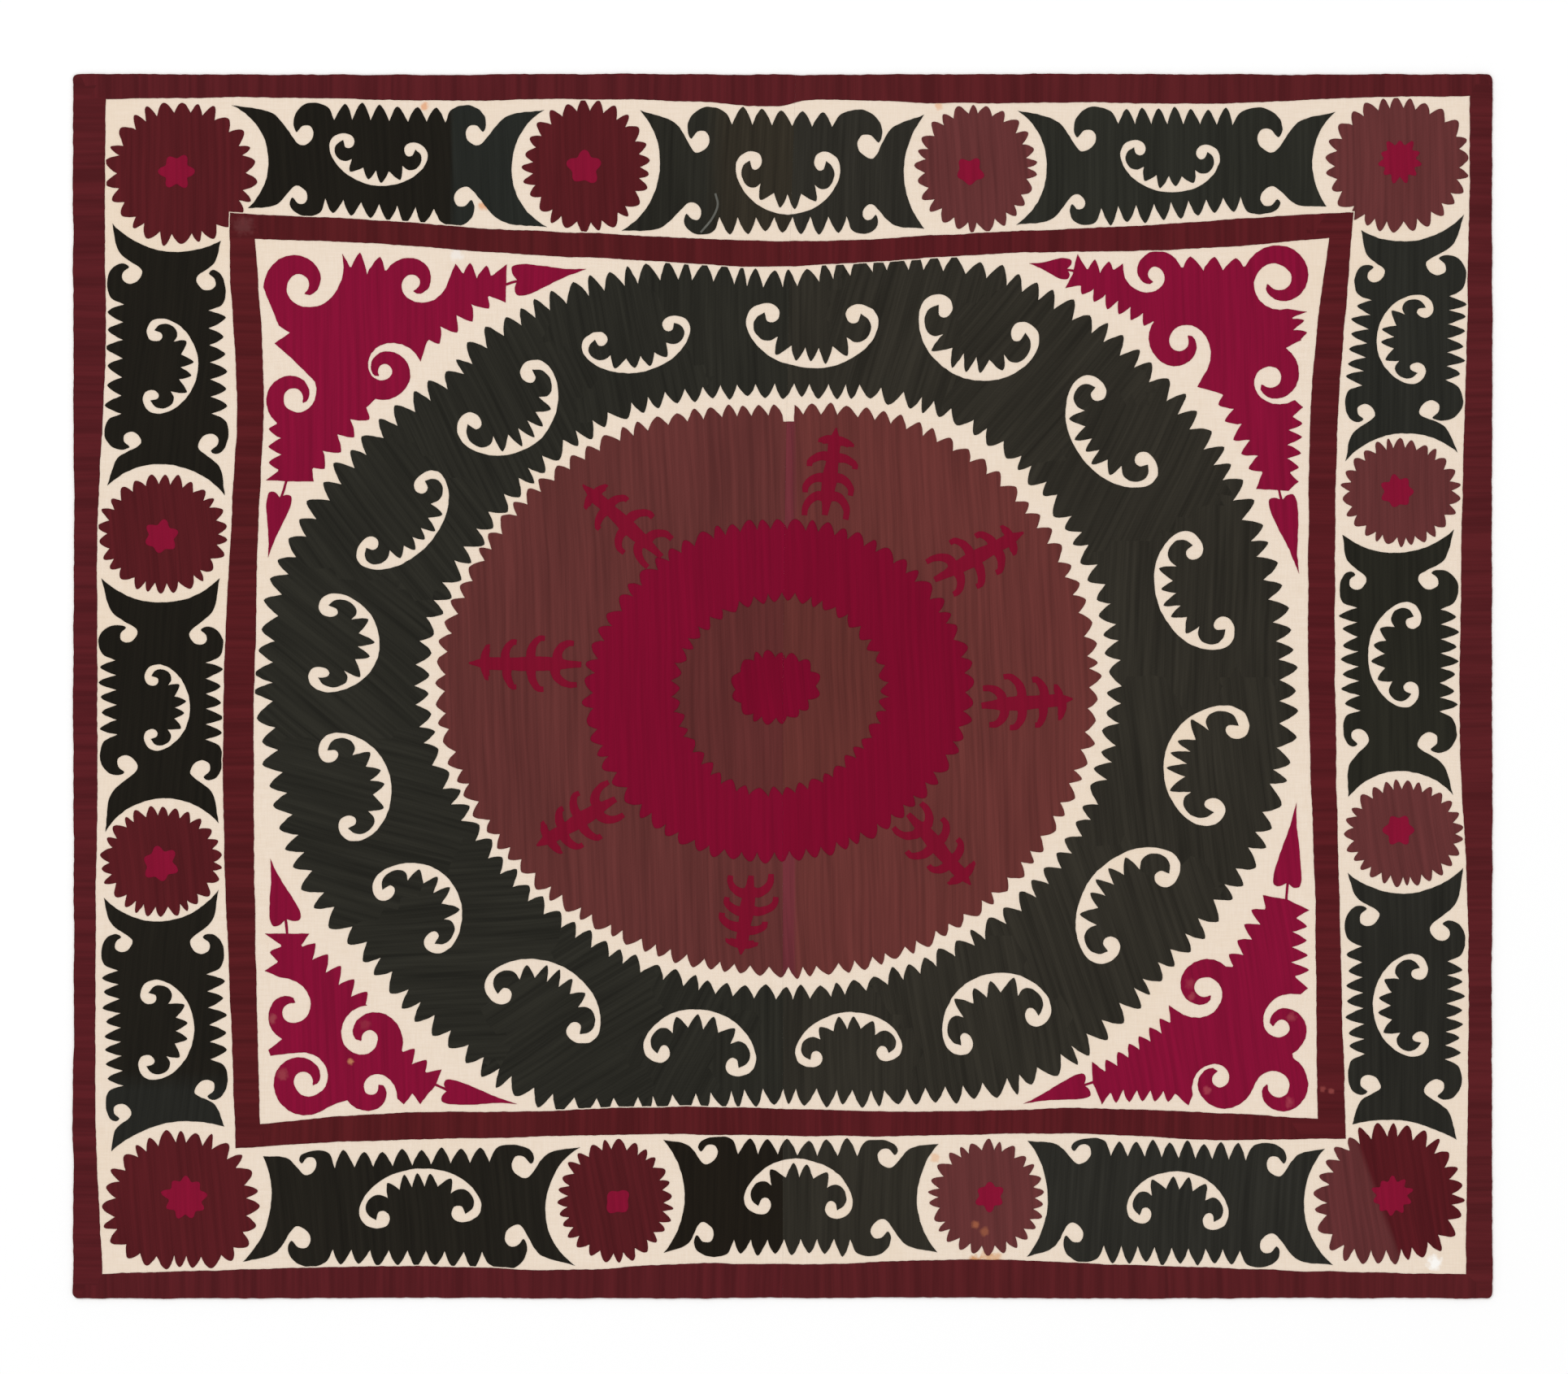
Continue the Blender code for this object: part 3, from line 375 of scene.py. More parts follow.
# Corner motifs as walks round their outlines, counter-clockwise as seen. ("to", x, y) goes straight
# there, ("teeth", x, y, count, height) goes there by teeth, and ("curl", x, y, radius, start, sweep,
# throat, span, back, fullness) goes round a scroll. Its angles turn clockwise from the right. Throat and
# back are the widest radii of its inner and outer edge, in radii of its round end. Fullness is 1 where it
# is left out, and keeps the cut wide for longer where it is higher.
# A leaf is (x, y) at its notch, (x, y) at its tip, and its half width.
SPANDRELS = {
    "spandrel_top_left": {
        "walk": (
            ("curl", 367, 350, 13, -34, 444, 5.0, 243, 3.3), ("to", 343, 400), ("to", 357, 409),
            ("to", 338, 422), ("to", 357, 439), ("curl", 361, 490, 12, -37, 415, 2.8, 261, 3.0),
            ("teeth", 342, 580, 3, 11), ("to", 327, 591), ("to", 386, 592), ("to", 384, 577),
            ("teeth", 453, 500, 4, 13), ("curl", 474, 457, 9, -16, -555, 5.0, 328, 4.0, 1.3),
            ("to", 526, 420), ("teeth", 602, 364, 4, 13), ("to", 622, 372), ("to", 624, 326),
            ("to", 606, 339), ("teeth", 569, 336, 2, 13), ("to", 561, 325),
            ("curl", 507, 347, 10, -5, 437, 4.6, 235, 3.4), ("teeth", 430, 328, 2, 18), ("to", 421, 312),
        ),
        "leaves": ((637, 345, 722, 331, 19), (344, 612, 330, 686, 15)),
        "stems": ((623, 350, 640, 345), (352, 591, 345, 614)),
    },
    "spandrel_top_right": {
        "walk": (
            ("curl", 1574, 343, 15, 75, 434, 2.6, 316, 3.0, 2.0), ("teeth", 1453, 329, 3, 12),
            ("curl", 1421, 337, 9, 172, -419, 4.2, 233, 3.6), ("to", 1381, 324), ("to", 1371, 332),
            ("teeth", 1337, 331, 2, 12), ("to", 1325, 313), ("to", 1320, 337), ("to", 1311, 355),
            ("to", 1328, 351), ("teeth", 1420, 396, 6, 10),
            ("curl", 1450, 420, 12, 60, -447, 4.6, 246, 3.2), ("to", 1473, 476), ("to", 1504, 485),
            ("teeth", 1553, 582, 5, 12), ("to", 1545, 602), ("to", 1585, 603), ("to", 1598, 592),
            ("to", 1587, 582), ("teeth", 1590, 512, 4, 12), ("to", 1603, 502),
            ("curl", 1563, 464, 13, 44, 451, 3.2, 206, 3.1), ("to", 1601, 419),
            ("teeth", 1590, 391, 2, 12), ("to", 1608, 384),
        ),
        "leaves": ((1312, 331, 1266, 324, 13), (1577, 615, 1598, 706, 17)),
        "stems": ((1322, 334, 1308, 331), (1573, 601, 1577, 619)),
    },
    "spandrel_bottom_left": {
        "walk": (
            ("to", 333, 1299), ("curl", 373, 1330, 12, 262, 473, 3.0, 336, 3.7, 2.0), ("to", 416, 1357),
            ("curl", 457, 1338, 9, 22, -398, 3.9, 176, 3.7), ("to", 497, 1358), ("to", 508, 1345),
            ("to", 517, 1358), ("to", 537, 1334), ("to", 543, 1315), ("to", 525, 1319),
            ("teeth", 495, 1293, 2, 12), ("curl", 455, 1277, 10, -95, -455, 4.1, 212, 4.2, 2.0),
            ("teeth", 371, 1163, 5, 13), ("to", 380, 1149), ("to", 326, 1148), ("to", 346, 1162),
            ("teeth", 341, 1184, 1, 12), ("to", 325, 1194),
            ("curl", 360, 1246, 12, 250, 390, 3.9, 177, 2.9), ("to", 330, 1292),
        ),
        "leaves": ((352, 1131, 333, 1056, 19), (550, 1342, 636, 1358, 15)),
        "stems": ((354, 1150, 351, 1127), (536, 1334, 555, 1343)),
    },
    "spandrel_bottom_right": {
        "walk": (
            ("curl", 1573, 1337, 13, 192, 352, 2.2, 256, 3.1),
            ("curl", 1576, 1264, 10, -60, -462, 4.8, 237, 3.5), ("to", 1609, 1215), ("to", 1594, 1202),
            ("teeth", 1595, 1128, 4, 15), ("to", 1610, 1119), ("to", 1582, 1106), ("to", 1554, 1101),
            ("to", 1557, 1117), ("teeth", 1516, 1190, 4, 13),
            ("curl", 1481, 1214, 12, 140, -442, 3.7, 268, 3.1, 1.3), ("to", 1438, 1236),
            ("to", 1440, 1257), ("teeth", 1359, 1318, 6, 11), ("to", 1344, 1306), ("to", 1345, 1332),
            ("to", 1355, 1358), ("to", 1365, 1344), ("teeth", 1447, 1346, 5, 11), ("to", 1462, 1360),
            ("curl", 1501, 1327, 10, 150, 453, 3.9, 239, 4.3),
        ),
        "leaves": ((1583, 1086, 1595, 987, 17), (1334, 1335, 1259, 1357, 15)),
        "stems": ((1582, 1109, 1584, 1082), (1347, 1330, 1331, 1336)),
    },
}

# Silk dyes as (colour for the eye, how far it varies, how much it varies from row to row). A node's own
# entry comes before that of its slot.
SILKS = {
    "maroon": ((83, 23, 28), 0.10, 0.1),
    "brown": ((97, 47, 47), 0.10, 0.0),
    "magenta": ((129, 9, 49), 0.08, 0.0),
    "black": ((38, 37, 31), 0.14, 0.1),
    "star": ((130, 12, 46), 0.06, 0.0),
    "sprig": ((120, 8, 38), 0.06, 0.0),
    "loose": ((96, 96, 90), 0.10, 0.0),
    "outer_band_left": ((84, 25, 30), 0.09, 0.6),
    "outer_band_right": ((84, 26, 30), 0.09, 0.6),
    "inner_band_left": ((83, 23, 27), 0.09, 0.6),
    "inner_band_right": ((84, 23, 28), 0.09, 0.6),
    "disc_left": ((95, 46, 44), 0.10, 0.2),
    "disc_right": ((100, 48, 45), 0.10, 0.2),
    "inner_disc_left": ((91, 41, 40), 0.10, 0.1),
    "inner_disc_right": ((95, 45, 41), 0.10, 0.1),
    "pink_ring_left": ((121, 3, 40), 0.06, 0.0),
    "pink_ring_right": ((119, 2, 38), 0.06, 0.0),
    "heart_left": ((115, 1, 36), 0.08, 0.0),
    "heart_right": ((116, 1, 37), 0.08, 0.0),
    "ring_left": ((38, 37, 31), 0.16, 0.2),
    "ring_right": ((44, 41, 34), 0.16, 0.2),
    "cartouche_top_a": ((26, 23, 17), 0.12, 0.0),
    "cartouche_top_b_left": ((37, 36, 30), 0.16, 0.1),
    "cartouche_top_b_right": ((42, 40, 34), 0.14, 0.1),
    "cartouche_top_c": ((39, 39, 33), 0.14, 0.1),
    "cartouche_left_a": ((26, 23, 17), 0.12, 0.0),
    "cartouche_left_b": ((25, 22, 16), 0.12, 0.0),
    "cartouche_left_c": ((28, 25, 19), 0.12, 0.0),
    "cartouche_right_a": ((38, 38, 33), 0.14, 0.1),
    "cartouche_right_b": ((35, 34, 27), 0.14, 0.1),
    "cartouche_right_c": ((37, 36, 31), 0.14, 0.1),
    "cartouche_bottom_a": ((30, 27, 21), 0.14, 0.1),
    "cartouche_bottom_b_left": ((27, 22, 15), 0.12, 0.0),
    "cartouche_bottom_b_right": ((44, 41, 34), 0.14, 0.1),
    "cartouche_bottom_c": ((40, 39, 34), 0.14, 0.1),
    "rosette_bottom_d": ((94, 44, 45), 0.10, 0.1),
}

# Parts of a motif worked in another dye: ((x, y) on its edge, way that it lies from there in degrees
# clockwise from the right, softness of the edge, colour for the eye).
ZONES = {
    "cartouche_top_a": (((556, 200), 0, 3, (35, 37, 33)),),
    "cartouche_left_c": (((204, 1330), 90, 12, (34, 34, 30)),),
    "rosette_bottom_d": (((1694, 1470), -20, 3, (82, 20, 26)),),
    "cartouche_top_b_left": (((880, 210), 0, 12, (46, 41, 32)),),
    "disc_right": (((978, 600), 180, 2, (106, 44, 51)),),
}

# Marks on the cotton, and those on the silk by node: ((x, y), radius, strength, colour for the eye).
COTTON_MARKS = (
    ((522, 131), 5, 0.75, (226, 158, 110)),
    ((595, 253), 6, 0.75, (226, 158, 110)),
    ((1155, 130), 5, 0.6, (228, 168, 122)),
    ((1150, 1424), 6, 0.5, (228, 170, 120)),
    ((1200, 1551), 8, 0.85, (204, 138, 78)),
    ((1217, 1549), 10, 0.7, (212, 150, 90)),
    ((1226, 1547), 7, 0.6, (214, 156, 98)),
    ((561, 313), 9, 0.7, (240, 234, 228)),
    ((274, 268), 5, 0.8, (238, 228, 220)),
    ((1765, 1553), 9, 0.9, (252, 250, 246)),
)
SILK_MARKS = {
    "spandrel_bottom_left": (
        ((335, 1254), 6, 0.3, (182, 108, 104)), ((348, 1322), 7, 0.3, (176, 96, 92)),
        ((431, 1306), 4, 0.75, (196, 132, 92)), ((449, 1260), 7, 0.2, (170, 80, 86)),
    ),
    "spandrel_bottom_right": (
        ((1464, 1210), 6, 0.25, (180, 84, 92)), ((1466, 1226), 5, 0.3, (186, 96, 98)),
        ((1588, 1251), 6, 0.3, (184, 92, 96)), ((1485, 1341), 5, 0.35, (192, 92, 100)),
        ((1586, 1355), 6, 0.35, (190, 88, 98)),
    ),
    "rosette_bottom_c": (((1200, 1506), 5, 0.6, (176, 104, 70)), ((1211, 1515), 6, 0.5, (168, 100, 68))),
    "inner_band_left": (((300, 277), 12, 0.3, (120, 72, 72)),),
    "inner_band_right": (((1627, 1340), 4, 0.6, (150, 70, 66)), ((1637, 1342), 4, 0.6, (156, 76, 72))),
}

# A loose thread that lies on the silk, as points on its way.
LOOSE_THREAD = ((880, 238), (883, 252), (876, 269), (862, 286))
LOOSE_THREAD_WIDTH = 2.6

# The studio in metres, but for the size of the photo's frame on the chart. A light is (name, place, power,
# size).
FLOOR_SIZE = 12.0
FLOOR_DROP = 0.0004
FLOOR_WHITE = 0.99
PHOTO_SIZE = (1929, 1690)
CAMERA_HEIGHT = 12.0
CAMERA_REACH = 48.0
WORLD_STRENGTH = 0.75
LIGHTS = (
    ("key", (-3.6, 4.4, 9.0), 255.0, 4.0),
    ("fill", (4.4, -4.0, 9.0), 125.0, 5.0),
)

# A gap in the disc's teeth where the seam crosses its upper edge.
DISC_NOTCH = [(962, 490), (978, 490), (977, 519), (964, 519)]

# Cartouches that the seam cuts, the height of their teeth, how far the sides of a horn bulge, as a share of
# their length, and how far the lobes rise over the line between two horns.
SEAMED_CARTOUCHES = ("cartouche_top_b", "cartouche_bottom_b")
EDGE_TOOTH = 21
HORN_BULGE = 0.16
EDGE_RISE = 4.5

# Half of a leaf's outline: round its notch in millimetres, then on to its tip in shares of its length, both
# with its width in shares of the half width. Its stem is a plain line.
LEAF_BASE = ((0, 0), (-5, 0.5), (-4, 0.9), (6, 1.0))
LEAF_BLADE = ((0.35, 0.72), (0.7, 0.25), (1, 0))
STEM_WIDTH = 3.0

# A corner scroll: round its cut from the mouth to the end, as (degrees, radius), and back over the lobe that
# curls above it, as (degrees, radius, share of the way up to the edge). Degrees turn from the middle of the
# cartouche's length to its nearest edge, and the radii are in radii of the curl.
SCROLL_CUT = ((-112, 1.9), (-55, 1.25), (0, 1.0), (60, 1.0), (120, 1.0))
SCROLL_LOBE = ((190, 1.35, 0.0), (150, 2.0, 0.26), (118, 2.9, 0.68), (85, 3.8, 1.0), (45, 4.0, 0.86))
SCROLL_FOOT = 3.8

# A crescent hole, with across in half lengths and up in half depths: its back and round end up to the tip of
# the silk inside the curl, then the pocket of silk down to the first spike.
CRESCENT_BACK = (
    (0.0, -1.0), (0.28, -0.93), (0.54, -0.74), (0.76, -0.42), (0.91, -0.02), (0.97, 0.38), (0.92, 0.72),
    (0.79, 0.90), (0.65, 0.94), (0.54, 0.85), (0.49, 0.66), (0.51, 0.47), (0.58, 0.36), (0.66, 0.40),
    (0.71, 0.66),
)
CRESCENT_POCKET = (
    (0.71, 0.66), (0.82, 0.50), (0.86, 0.28), (0.83, 0.04), (0.74, -0.15), (0.62, -0.19), (0.50, -0.06),
)
CRESCENT_SPIKE_RISE = 0.30
CRESCENT_SPIKE_FALL = 4
CRESCENT_TOOTH = 0.48
CRESCENT_TOOTH_WIDTH = 16.0
CRESCENT_FEWEST_TEETH = 4

# Magenta stars on the rosettes: (x, y, radius, lobes, way that one lobe points).
STARS = {
    "star_top_a": (217, 211, 21, 6, 60),
    "star_top_b": (719, 206, 21, 5, 90),
    "star_top_c": (1193, 211, 18, 5, 55),
    "star_top_d": (1722, 198, 27, 11, 90),
    "star_left_a": (199, 661, 21, 6, 20),
    "star_left_b": (197, 1063, 22, 6, 40),
    "star_right_a": (1719, 605, 21, 7, 0),
    "star_right_b": (1721, 1021, 20, 6, 0),
    "star_bottom_a": (228, 1473, 28, 9, 88),
    "star_bottom_b": (760, 1478, 17, 4, 45),
    "star_bottom_c": (1217, 1471, 18, 6, 90),
    "star_bottom_d": (1712, 1471, 25, 10, 88),
}
STAR_WAIST = 0.74
STAR_REACH = (0.9, 1.12)
STAR_STEP = 6

# Thorny sprigs on the brown disc: (x, y) of the tip that points outward, (x, y) of the other end.
SPRIGS = {
    "sprig_a": (1029, 527, 1015, 632),
    "sprig_b": (1259, 655, 1152, 712),
    "sprig_c": (1320, 860, 1210, 868),
    "sprig_d": (1194, 1088, 1119, 1003),
    "sprig_e": (911, 1174, 924, 1079),
    "sprig_f": (660, 1040, 756, 984),
    "sprig_g": (577, 816, 712, 817),
    "sprig_h": (717, 597, 812, 683),
}

# The stem of a sprig, as (share of the way from tip to end, width), and its ribs, as (share of the way,
# reach sideways, droop toward the end). A rib narrows from its foot to its end, and differs from the next
# in its reach, droop and place. Its line is (millimetres on, share of its droop, share of its reach).
SPRIG_STEM = ((0.0, 2), (0.08, 9), (0.16, 16), (0.36, 15), (0.58, 19), (0.78, 16), (0.9, 10), (1.02, 7))
SPRIG_RIBS = ((0.15, 20, 4), (0.34, 28, 12), (0.57, 31, 17), (0.80, 25, 22))
RIB_WIDTHS = (13.5, 6.5)
RIB_REACH = (0.82, 1.08)
RIB_DROOP = (0.75, 1.2)
RIB_SHIFT = (-2, 3)
RIB_LINE = ((0, 0, 0), (-1, 0, 0.45), (0, 0.2, 0.8), (0, 0.6, 1), (0, 1, 1))

# Which way the silk rows run in the ring: from this place on, counter-clockwise from the right, they run at
# this slope. The places are ragged by some degrees, in bends of some length.
RING_ROWS = (
    (0, 88), (22, 64), (40, 50), (62, 74), (82, 91), (106, 102), (124, 116), (148, 128), (165, 140),
    (188, 165), (210, 184), (230, 212), (250, 243), (262, 270), (288, 281), (310, 288), (335, 277),
)
RING_RAGGED_TURN = 6
RING_RAGGED_LENGTH = 60

# Which way they run in the other motifs, as (slope, how far it differs from one motif to the next).
ROW_SLOPES = {
    "cartouche": (90, 6),
    "rosette": (93, 7),
    "spandrel": (92, 8),
    "disc": (91, 5),
    "pink": (90, 4),
}


def along(start, end, part):
    return (start[0] + (end[0] - start[0]) * part, start[1] + (end[1] - start[1]) * part)


def polar(centre, radius, degrees):
    angle = math.radians(degrees)
    return (centre[0] + radius * math.cos(angle), centre[1] + radius * math.sin(angle))


def placed(points, origin, across, up):
    """Points of a motif's own frame, put on the chart."""
    return [
        (origin[0] + u * across[0] + v * up[0], origin[1] + u * across[1] + v * up[1]) for u, v in points
    ]


def toward(start, end):
    """How far it is from start to end, the way there, and the way to the right of it on the chart."""
    length = math.dist(start, end)
    ahead = ((end[0] - start[0]) / length, (end[1] - start[1]) / length)
    return length, ahead, (-ahead[1], ahead[0])


def curved(points):
    """A smooth curve through the points, with a point about every step along it."""
    first = along(points[1], points[0], 2)
    last = along(points[-2], points[-1], 2)
    padded = [first, *points, last]
    curve = [points[0]]
    for before, here, there, after in zip(padded, padded[1:], padded[2:], padded[3:]):
        pairs = ((before, here), (here, there), (there, after))
        gaps = [max(math.dist(a, b), TINY) ** 0.5 for a, b in pairs]
        leave, arrive = [], []
        for axis in (0, 1):
            a, b, c, d = before[axis], here[axis], there[axis], after[axis]
            middle = (c - b) / gaps[1]
            leave.append(gaps[1] * ((b - a) / gaps[0] - (c - a) / (gaps[0] + gaps[1]) + middle))
            arrive.append(gaps[1] * (middle - (d - b) / (gaps[1] + gaps[2]) + (d - c) / gaps[2]))
        count = max(1, round(math.dist(here, there) / CURVE_STEP))
        for index in range(1, count + 1):
            part = index / count
            square, cube = part**2, part**3
            rise = 3 * square - 2 * cube
            fall = 2 * cube - 3 * square + 1
            bends = (cube - 2 * square + part, cube - square)
            curve.append(tuple(
                fall * here[axis] + bends[0] * leave[axis] + bends[1] * arrive[axis] + rise * there[axis]
                for axis in (0, 1)
            ))
    return curve


def arc(start, through, end, count):
    """Points after start on the circle through the three points, end included."""
    (ax, ay), (bx, by), (cx, cy) = start, through, end
    a, b, c = (x * x + y * y for x, y in (start, through, end))
    twice_area = ax * (by - cy) + bx * (cy - ay) + cx * (ay - by)
    centre = (
        (a * (by - cy) + b * (cy - ay) + c * (ay - by)) / twice_area / 2,
        (a * (cx - bx) + b * (ax - cx) + c * (bx - ax)) / twice_area / 2,
    )
    first, middle, last = (
        math.degrees(math.atan2(y - centre[1], x - centre[0])) for x, y in (start, through, end)
    )
    sweep = (last - first) % 360
    if (middle - first) % 360 > sweep:
        sweep -= 360
    radius = math.dist(centre, start)
    return [polar(centre, radius, first + sweep * step / count) for step in range(1, count + 1)]


def tooth_profile(roundness):
    """A tooth as (share of its width, share of its height). A higher roundness fills its shoulders."""
    parts = [index / TOOTH_POINTS for index in range(TOOTH_POINTS)]
    return [(part, 1 - abs(2 * part - 1) ** roundness) for part in parts]


DEEP_TEETH = [(part, rise * (1 + DEEP_ROOT) - DEEP_ROOT) for part, rise in tooth_profile(1.4)]
LEAFY_TEETH = tooth_profile(1.55)
ROUND_TEETH = tooth_profile(1.9)


def toothed(feet, height, seed, profile):
    """A tooth between each two feet, out to the right of someone who walks along them on the chart."""
    rng = random.Random(seed)
    points = []
    for here, there in zip(feet, feet[1:]):
        length = math.dist(here, there)
        tall = height * rng.uniform(*TOOTH_GROWTH) / length
        lean = rng.uniform(-TOOTH_LEAN, TOOTH_LEAN)
        for part, rise in profile:
            x, y = along(here, there, part + lean * rise)
            points.append((x - (there[1] - here[1]) * tall * rise, y + (there[0] - here[0]) * tall * rise))
    return points


def radius_at(radii, degrees):
    """Radius at an angle, on a smooth closed curve through (degrees, radius) stations."""
    degrees %= 360
    first = max(index for index, (station, _) in enumerate(radii) if station <= degrees)
    turns = ((index // len(radii) * 360, radii[index % len(radii)]) for index in range(first - 1, first + 3))
    before, here, there, after = ((turn + station, radius) for turn, (station, radius) in turns)
    length = there[0] - here[0]
    leave = (there[1] - before[1]) / (there[0] - before[0]) * length
    arrive = (after[1] - here[1]) / (after[0] - here[0]) * length
    part = (degrees - here[0]) / length
    change = there[1] - here[1]
    bend = leave + arrive - 2 * change
    return here[1] + part * (leave + part * (3 * change - 2 * leave - arrive + part * bend))


def round_loop(centre, radius_of, count, height, seed, profile):
    """A closed toothed curve, with the tips of its teeth at radius_of the angle."""
    rng = random.Random(seed)
    steps = [step + rng.uniform(-TOOTH_SHIFT, TOOTH_SHIFT) for step in range(count)]
    feet = []
    for step in [*steps, steps[0] + count]:
        degrees = -360 * step / count
        feet.append(polar(centre, radius_of(-degrees) - height, degrees))
    return toothed(feet, height, seed, profile)


def round_edge(name, grow=0.0):
    """One of the edges round the centre, moved outward by grow."""
    edge = ROUNDS[name]
    seed = list(ROUNDS).index(name)
    profile = ROUND_TEETH if name in ("pink_outer", "heart") else LEAFY_TEETH

    def radius_of(degrees):
        return radius_at(edge["radii"], degrees) + grow

    return round_loop(edge["centre"], radius_of, edge["teeth"], edge["height"], seed, profile)


def rosette_loop(name, grow=0.0):
    """A rosette's edge, moved outward by grow."""
    x, y, across, up, teeth, height, _ = ROSETTES[name]
    seed = ROSETTE_SEED + list(ROSETTES).index(name)

    def radius_of(degrees):
        turn = math.radians(degrees)
        swell = sum(
            more * max(0.0, math.cos(turn - math.radians(way))) ** SWELL_SHARPNESS
            for way, more in SWELLS.get(name, ())
        )
        return 1 / math.hypot(math.cos(turn) / across, math.sin(turn) / up) + swell + grow

    return round_loop((x, y), radius_of, teeth, height, seed, ROUND_TEETH)


def scroll(centre, radius, start, sweep, throat, span, back, fullness=1.0):
    """The edge of a scroll cut and of the lobe over it, the cut first where it turns clockwise."""
    turn = math.copysign(1, sweep)
    points = []
    inner_steps = round(abs(sweep) / TURN_STEP)
    for step in range(inner_steps + 1):
        part = step / inner_steps
        narrowing = max(0.0, 1 - (part / THROAT_LENGTH) ** fullness) ** THROAT_FALL
        wide = 1 + (throat - 1) * narrowing
        points.append(polar(centre, radius * wide, start + sweep * part))
    outer_steps = round(span / TURN_STEP)
    for step in range(outer_steps + 1):
        part = step / outer_steps
        wide = LOBE_TIP + (back - LOBE_TIP) * part**LOBE_GROWTH
        points.append(polar(centre, radius * wide, start + sweep + turn * (LOBE_LEAD - span * part)))
    return points if turn > 0 else points[::-1]


def crescent(x, y, half_length, half_depth, facing):
    """A crescent hole, with curled ends and with the silk's teeth on its hollow side."""
    back = [(u * half_length, v * half_depth) for u, v in CRESCENT_BACK]
    pocket = [(u * half_length, v * half_depth) for u, v in CRESCENT_POCKET]
    outer = curved([(-u, v) for u, v in back[:0:-1]] + back)
    right_pocket = curved(pocket)
    left_pocket = curved([(-u, v) for u, v in reversed(pocket)])
    reach, start = pocket[-1]
    teeth = max(CRESCENT_FEWEST_TEETH, round(2 * reach / CRESCENT_TOOTH_WIDTH))
    feet = []
    for step in range(teeth + 1):
        side = 1 - 2 * step / teeth
        low = start - CRESCENT_SPIKE_RISE * half_depth * (1 - side**CRESCENT_SPIKE_FALL)
        feet.append((reach * side, low))
    spikes = toothed(feet, CRESCENT_TOOTH * half_depth, round(x + y), LEAFY_TEETH)
    loop = outer + right_pocket[1:-1] + spikes + left_pocket[:-1]
    out = polar((0, 0), 1, facing)
    return placed(loop, (x, y), (-out[1], out[0]), (-out[0], -out[1]))


def corner_scroll(curl, inward, outward, horns):
    """One of a cartouche's scrolls, from its horn to its teeth, up to the line between two horns."""
    x, y, radius = curl
    part = abs((x - horns[0][0]) * inward[0] + (y - horns[0][1]) * inward[1]) / math.dist(*horns)
    edge = along(*horns, part)
    reach = (edge[0] - x) * outward[0] + (edge[1] - y) * outward[1] + EDGE_RISE
    points = [polar((0, 0), radius * wide, degrees) for degrees, wide in SCROLL_CUT]
    for degrees, wide, up in SCROLL_LOBE:
        points.append((radius * wide * math.cos(math.radians(degrees)), reach * up))
    points.append((radius * SCROLL_FOOT, reach - EDGE_TOOTH))
    return placed(points, (x, y), inward, outward)


def horn_side(horn, mouth, outward):
    """The point halfway from a horn to the mouth of its scroll, bulged out to the cartouche's edge."""
    x, y = along(horn, mouth, 0.5)
    off = (-(mouth[1] - horn[1]) * HORN_BULGE, (mouth[0] - horn[0]) * HORN_BULGE)
    way = math.copysign(1, off[0] * outward[0] + off[1] * outward[1])
    return (x + way * off[0], y + way * off[1])


def cartouche_loop(name):
    """A cartouche's outline: two curved ends with horns, four scrolls, and two toothed edges."""
    row = CARTOUCHES[name]
    seed = CARTOUCHE_SEED + list(CARTOUCHES).index(name)
    outward = OUTWARD[name.split("_")[1]]
    inner_way = (-outward[0], -outward[1])
    forward = (abs(outward[1]), abs(outward[0]))
    backward = (-forward[0], -forward[1])
    first_outer, first_inner, last_outer, last_inner = row["horns"]
    curls = row["curls"]
    outer_horns, inner_horns = (first_outer, last_outer), (first_inner, last_inner)
    sides = (
        (first_outer, row["hollows"][0], first_inner, last_inner, inner_way, row["teeth"][1],
         corner_scroll(curls[1], forward, inner_way, inner_horns),
         corner_scroll(curls[3], backward, inner_way, inner_horns[::-1])),
        (last_inner, row["hollows"][1], last_outer, first_outer, outward, row["teeth"][0],
         corner_scroll(curls[2], backward, outward, outer_horns[::-1]),
         corner_scroll(curls[0], forward, outward, outer_horns)),
    )
    loop = []
    for horn, hollow, near_horn, far_horn, way, teeth, near, far in sides:
        feet = [along(near[-1], far[-1], step / teeth) for step in range(teeth + 1)]
        direct = (feet[1][0] - feet[0][0]) * way[1] - (feet[1][1] - feet[0][1]) * way[0]
        loop += [horn, *arc(horn, hollow, near_horn, HOLLOW_POINTS)[:-1]]
        loop += curved([near_horn, horn_side(near_horn, near[0], way), *near])[:-1]
        loop += toothed(feet, math.copysign(EDGE_TOOTH, direct), seed + teeth, LEAFY_TEETH)
        loop += curved([*far[::-1], horn_side(far_horn, far[0], way), far_horn])[:-1]
    return loop


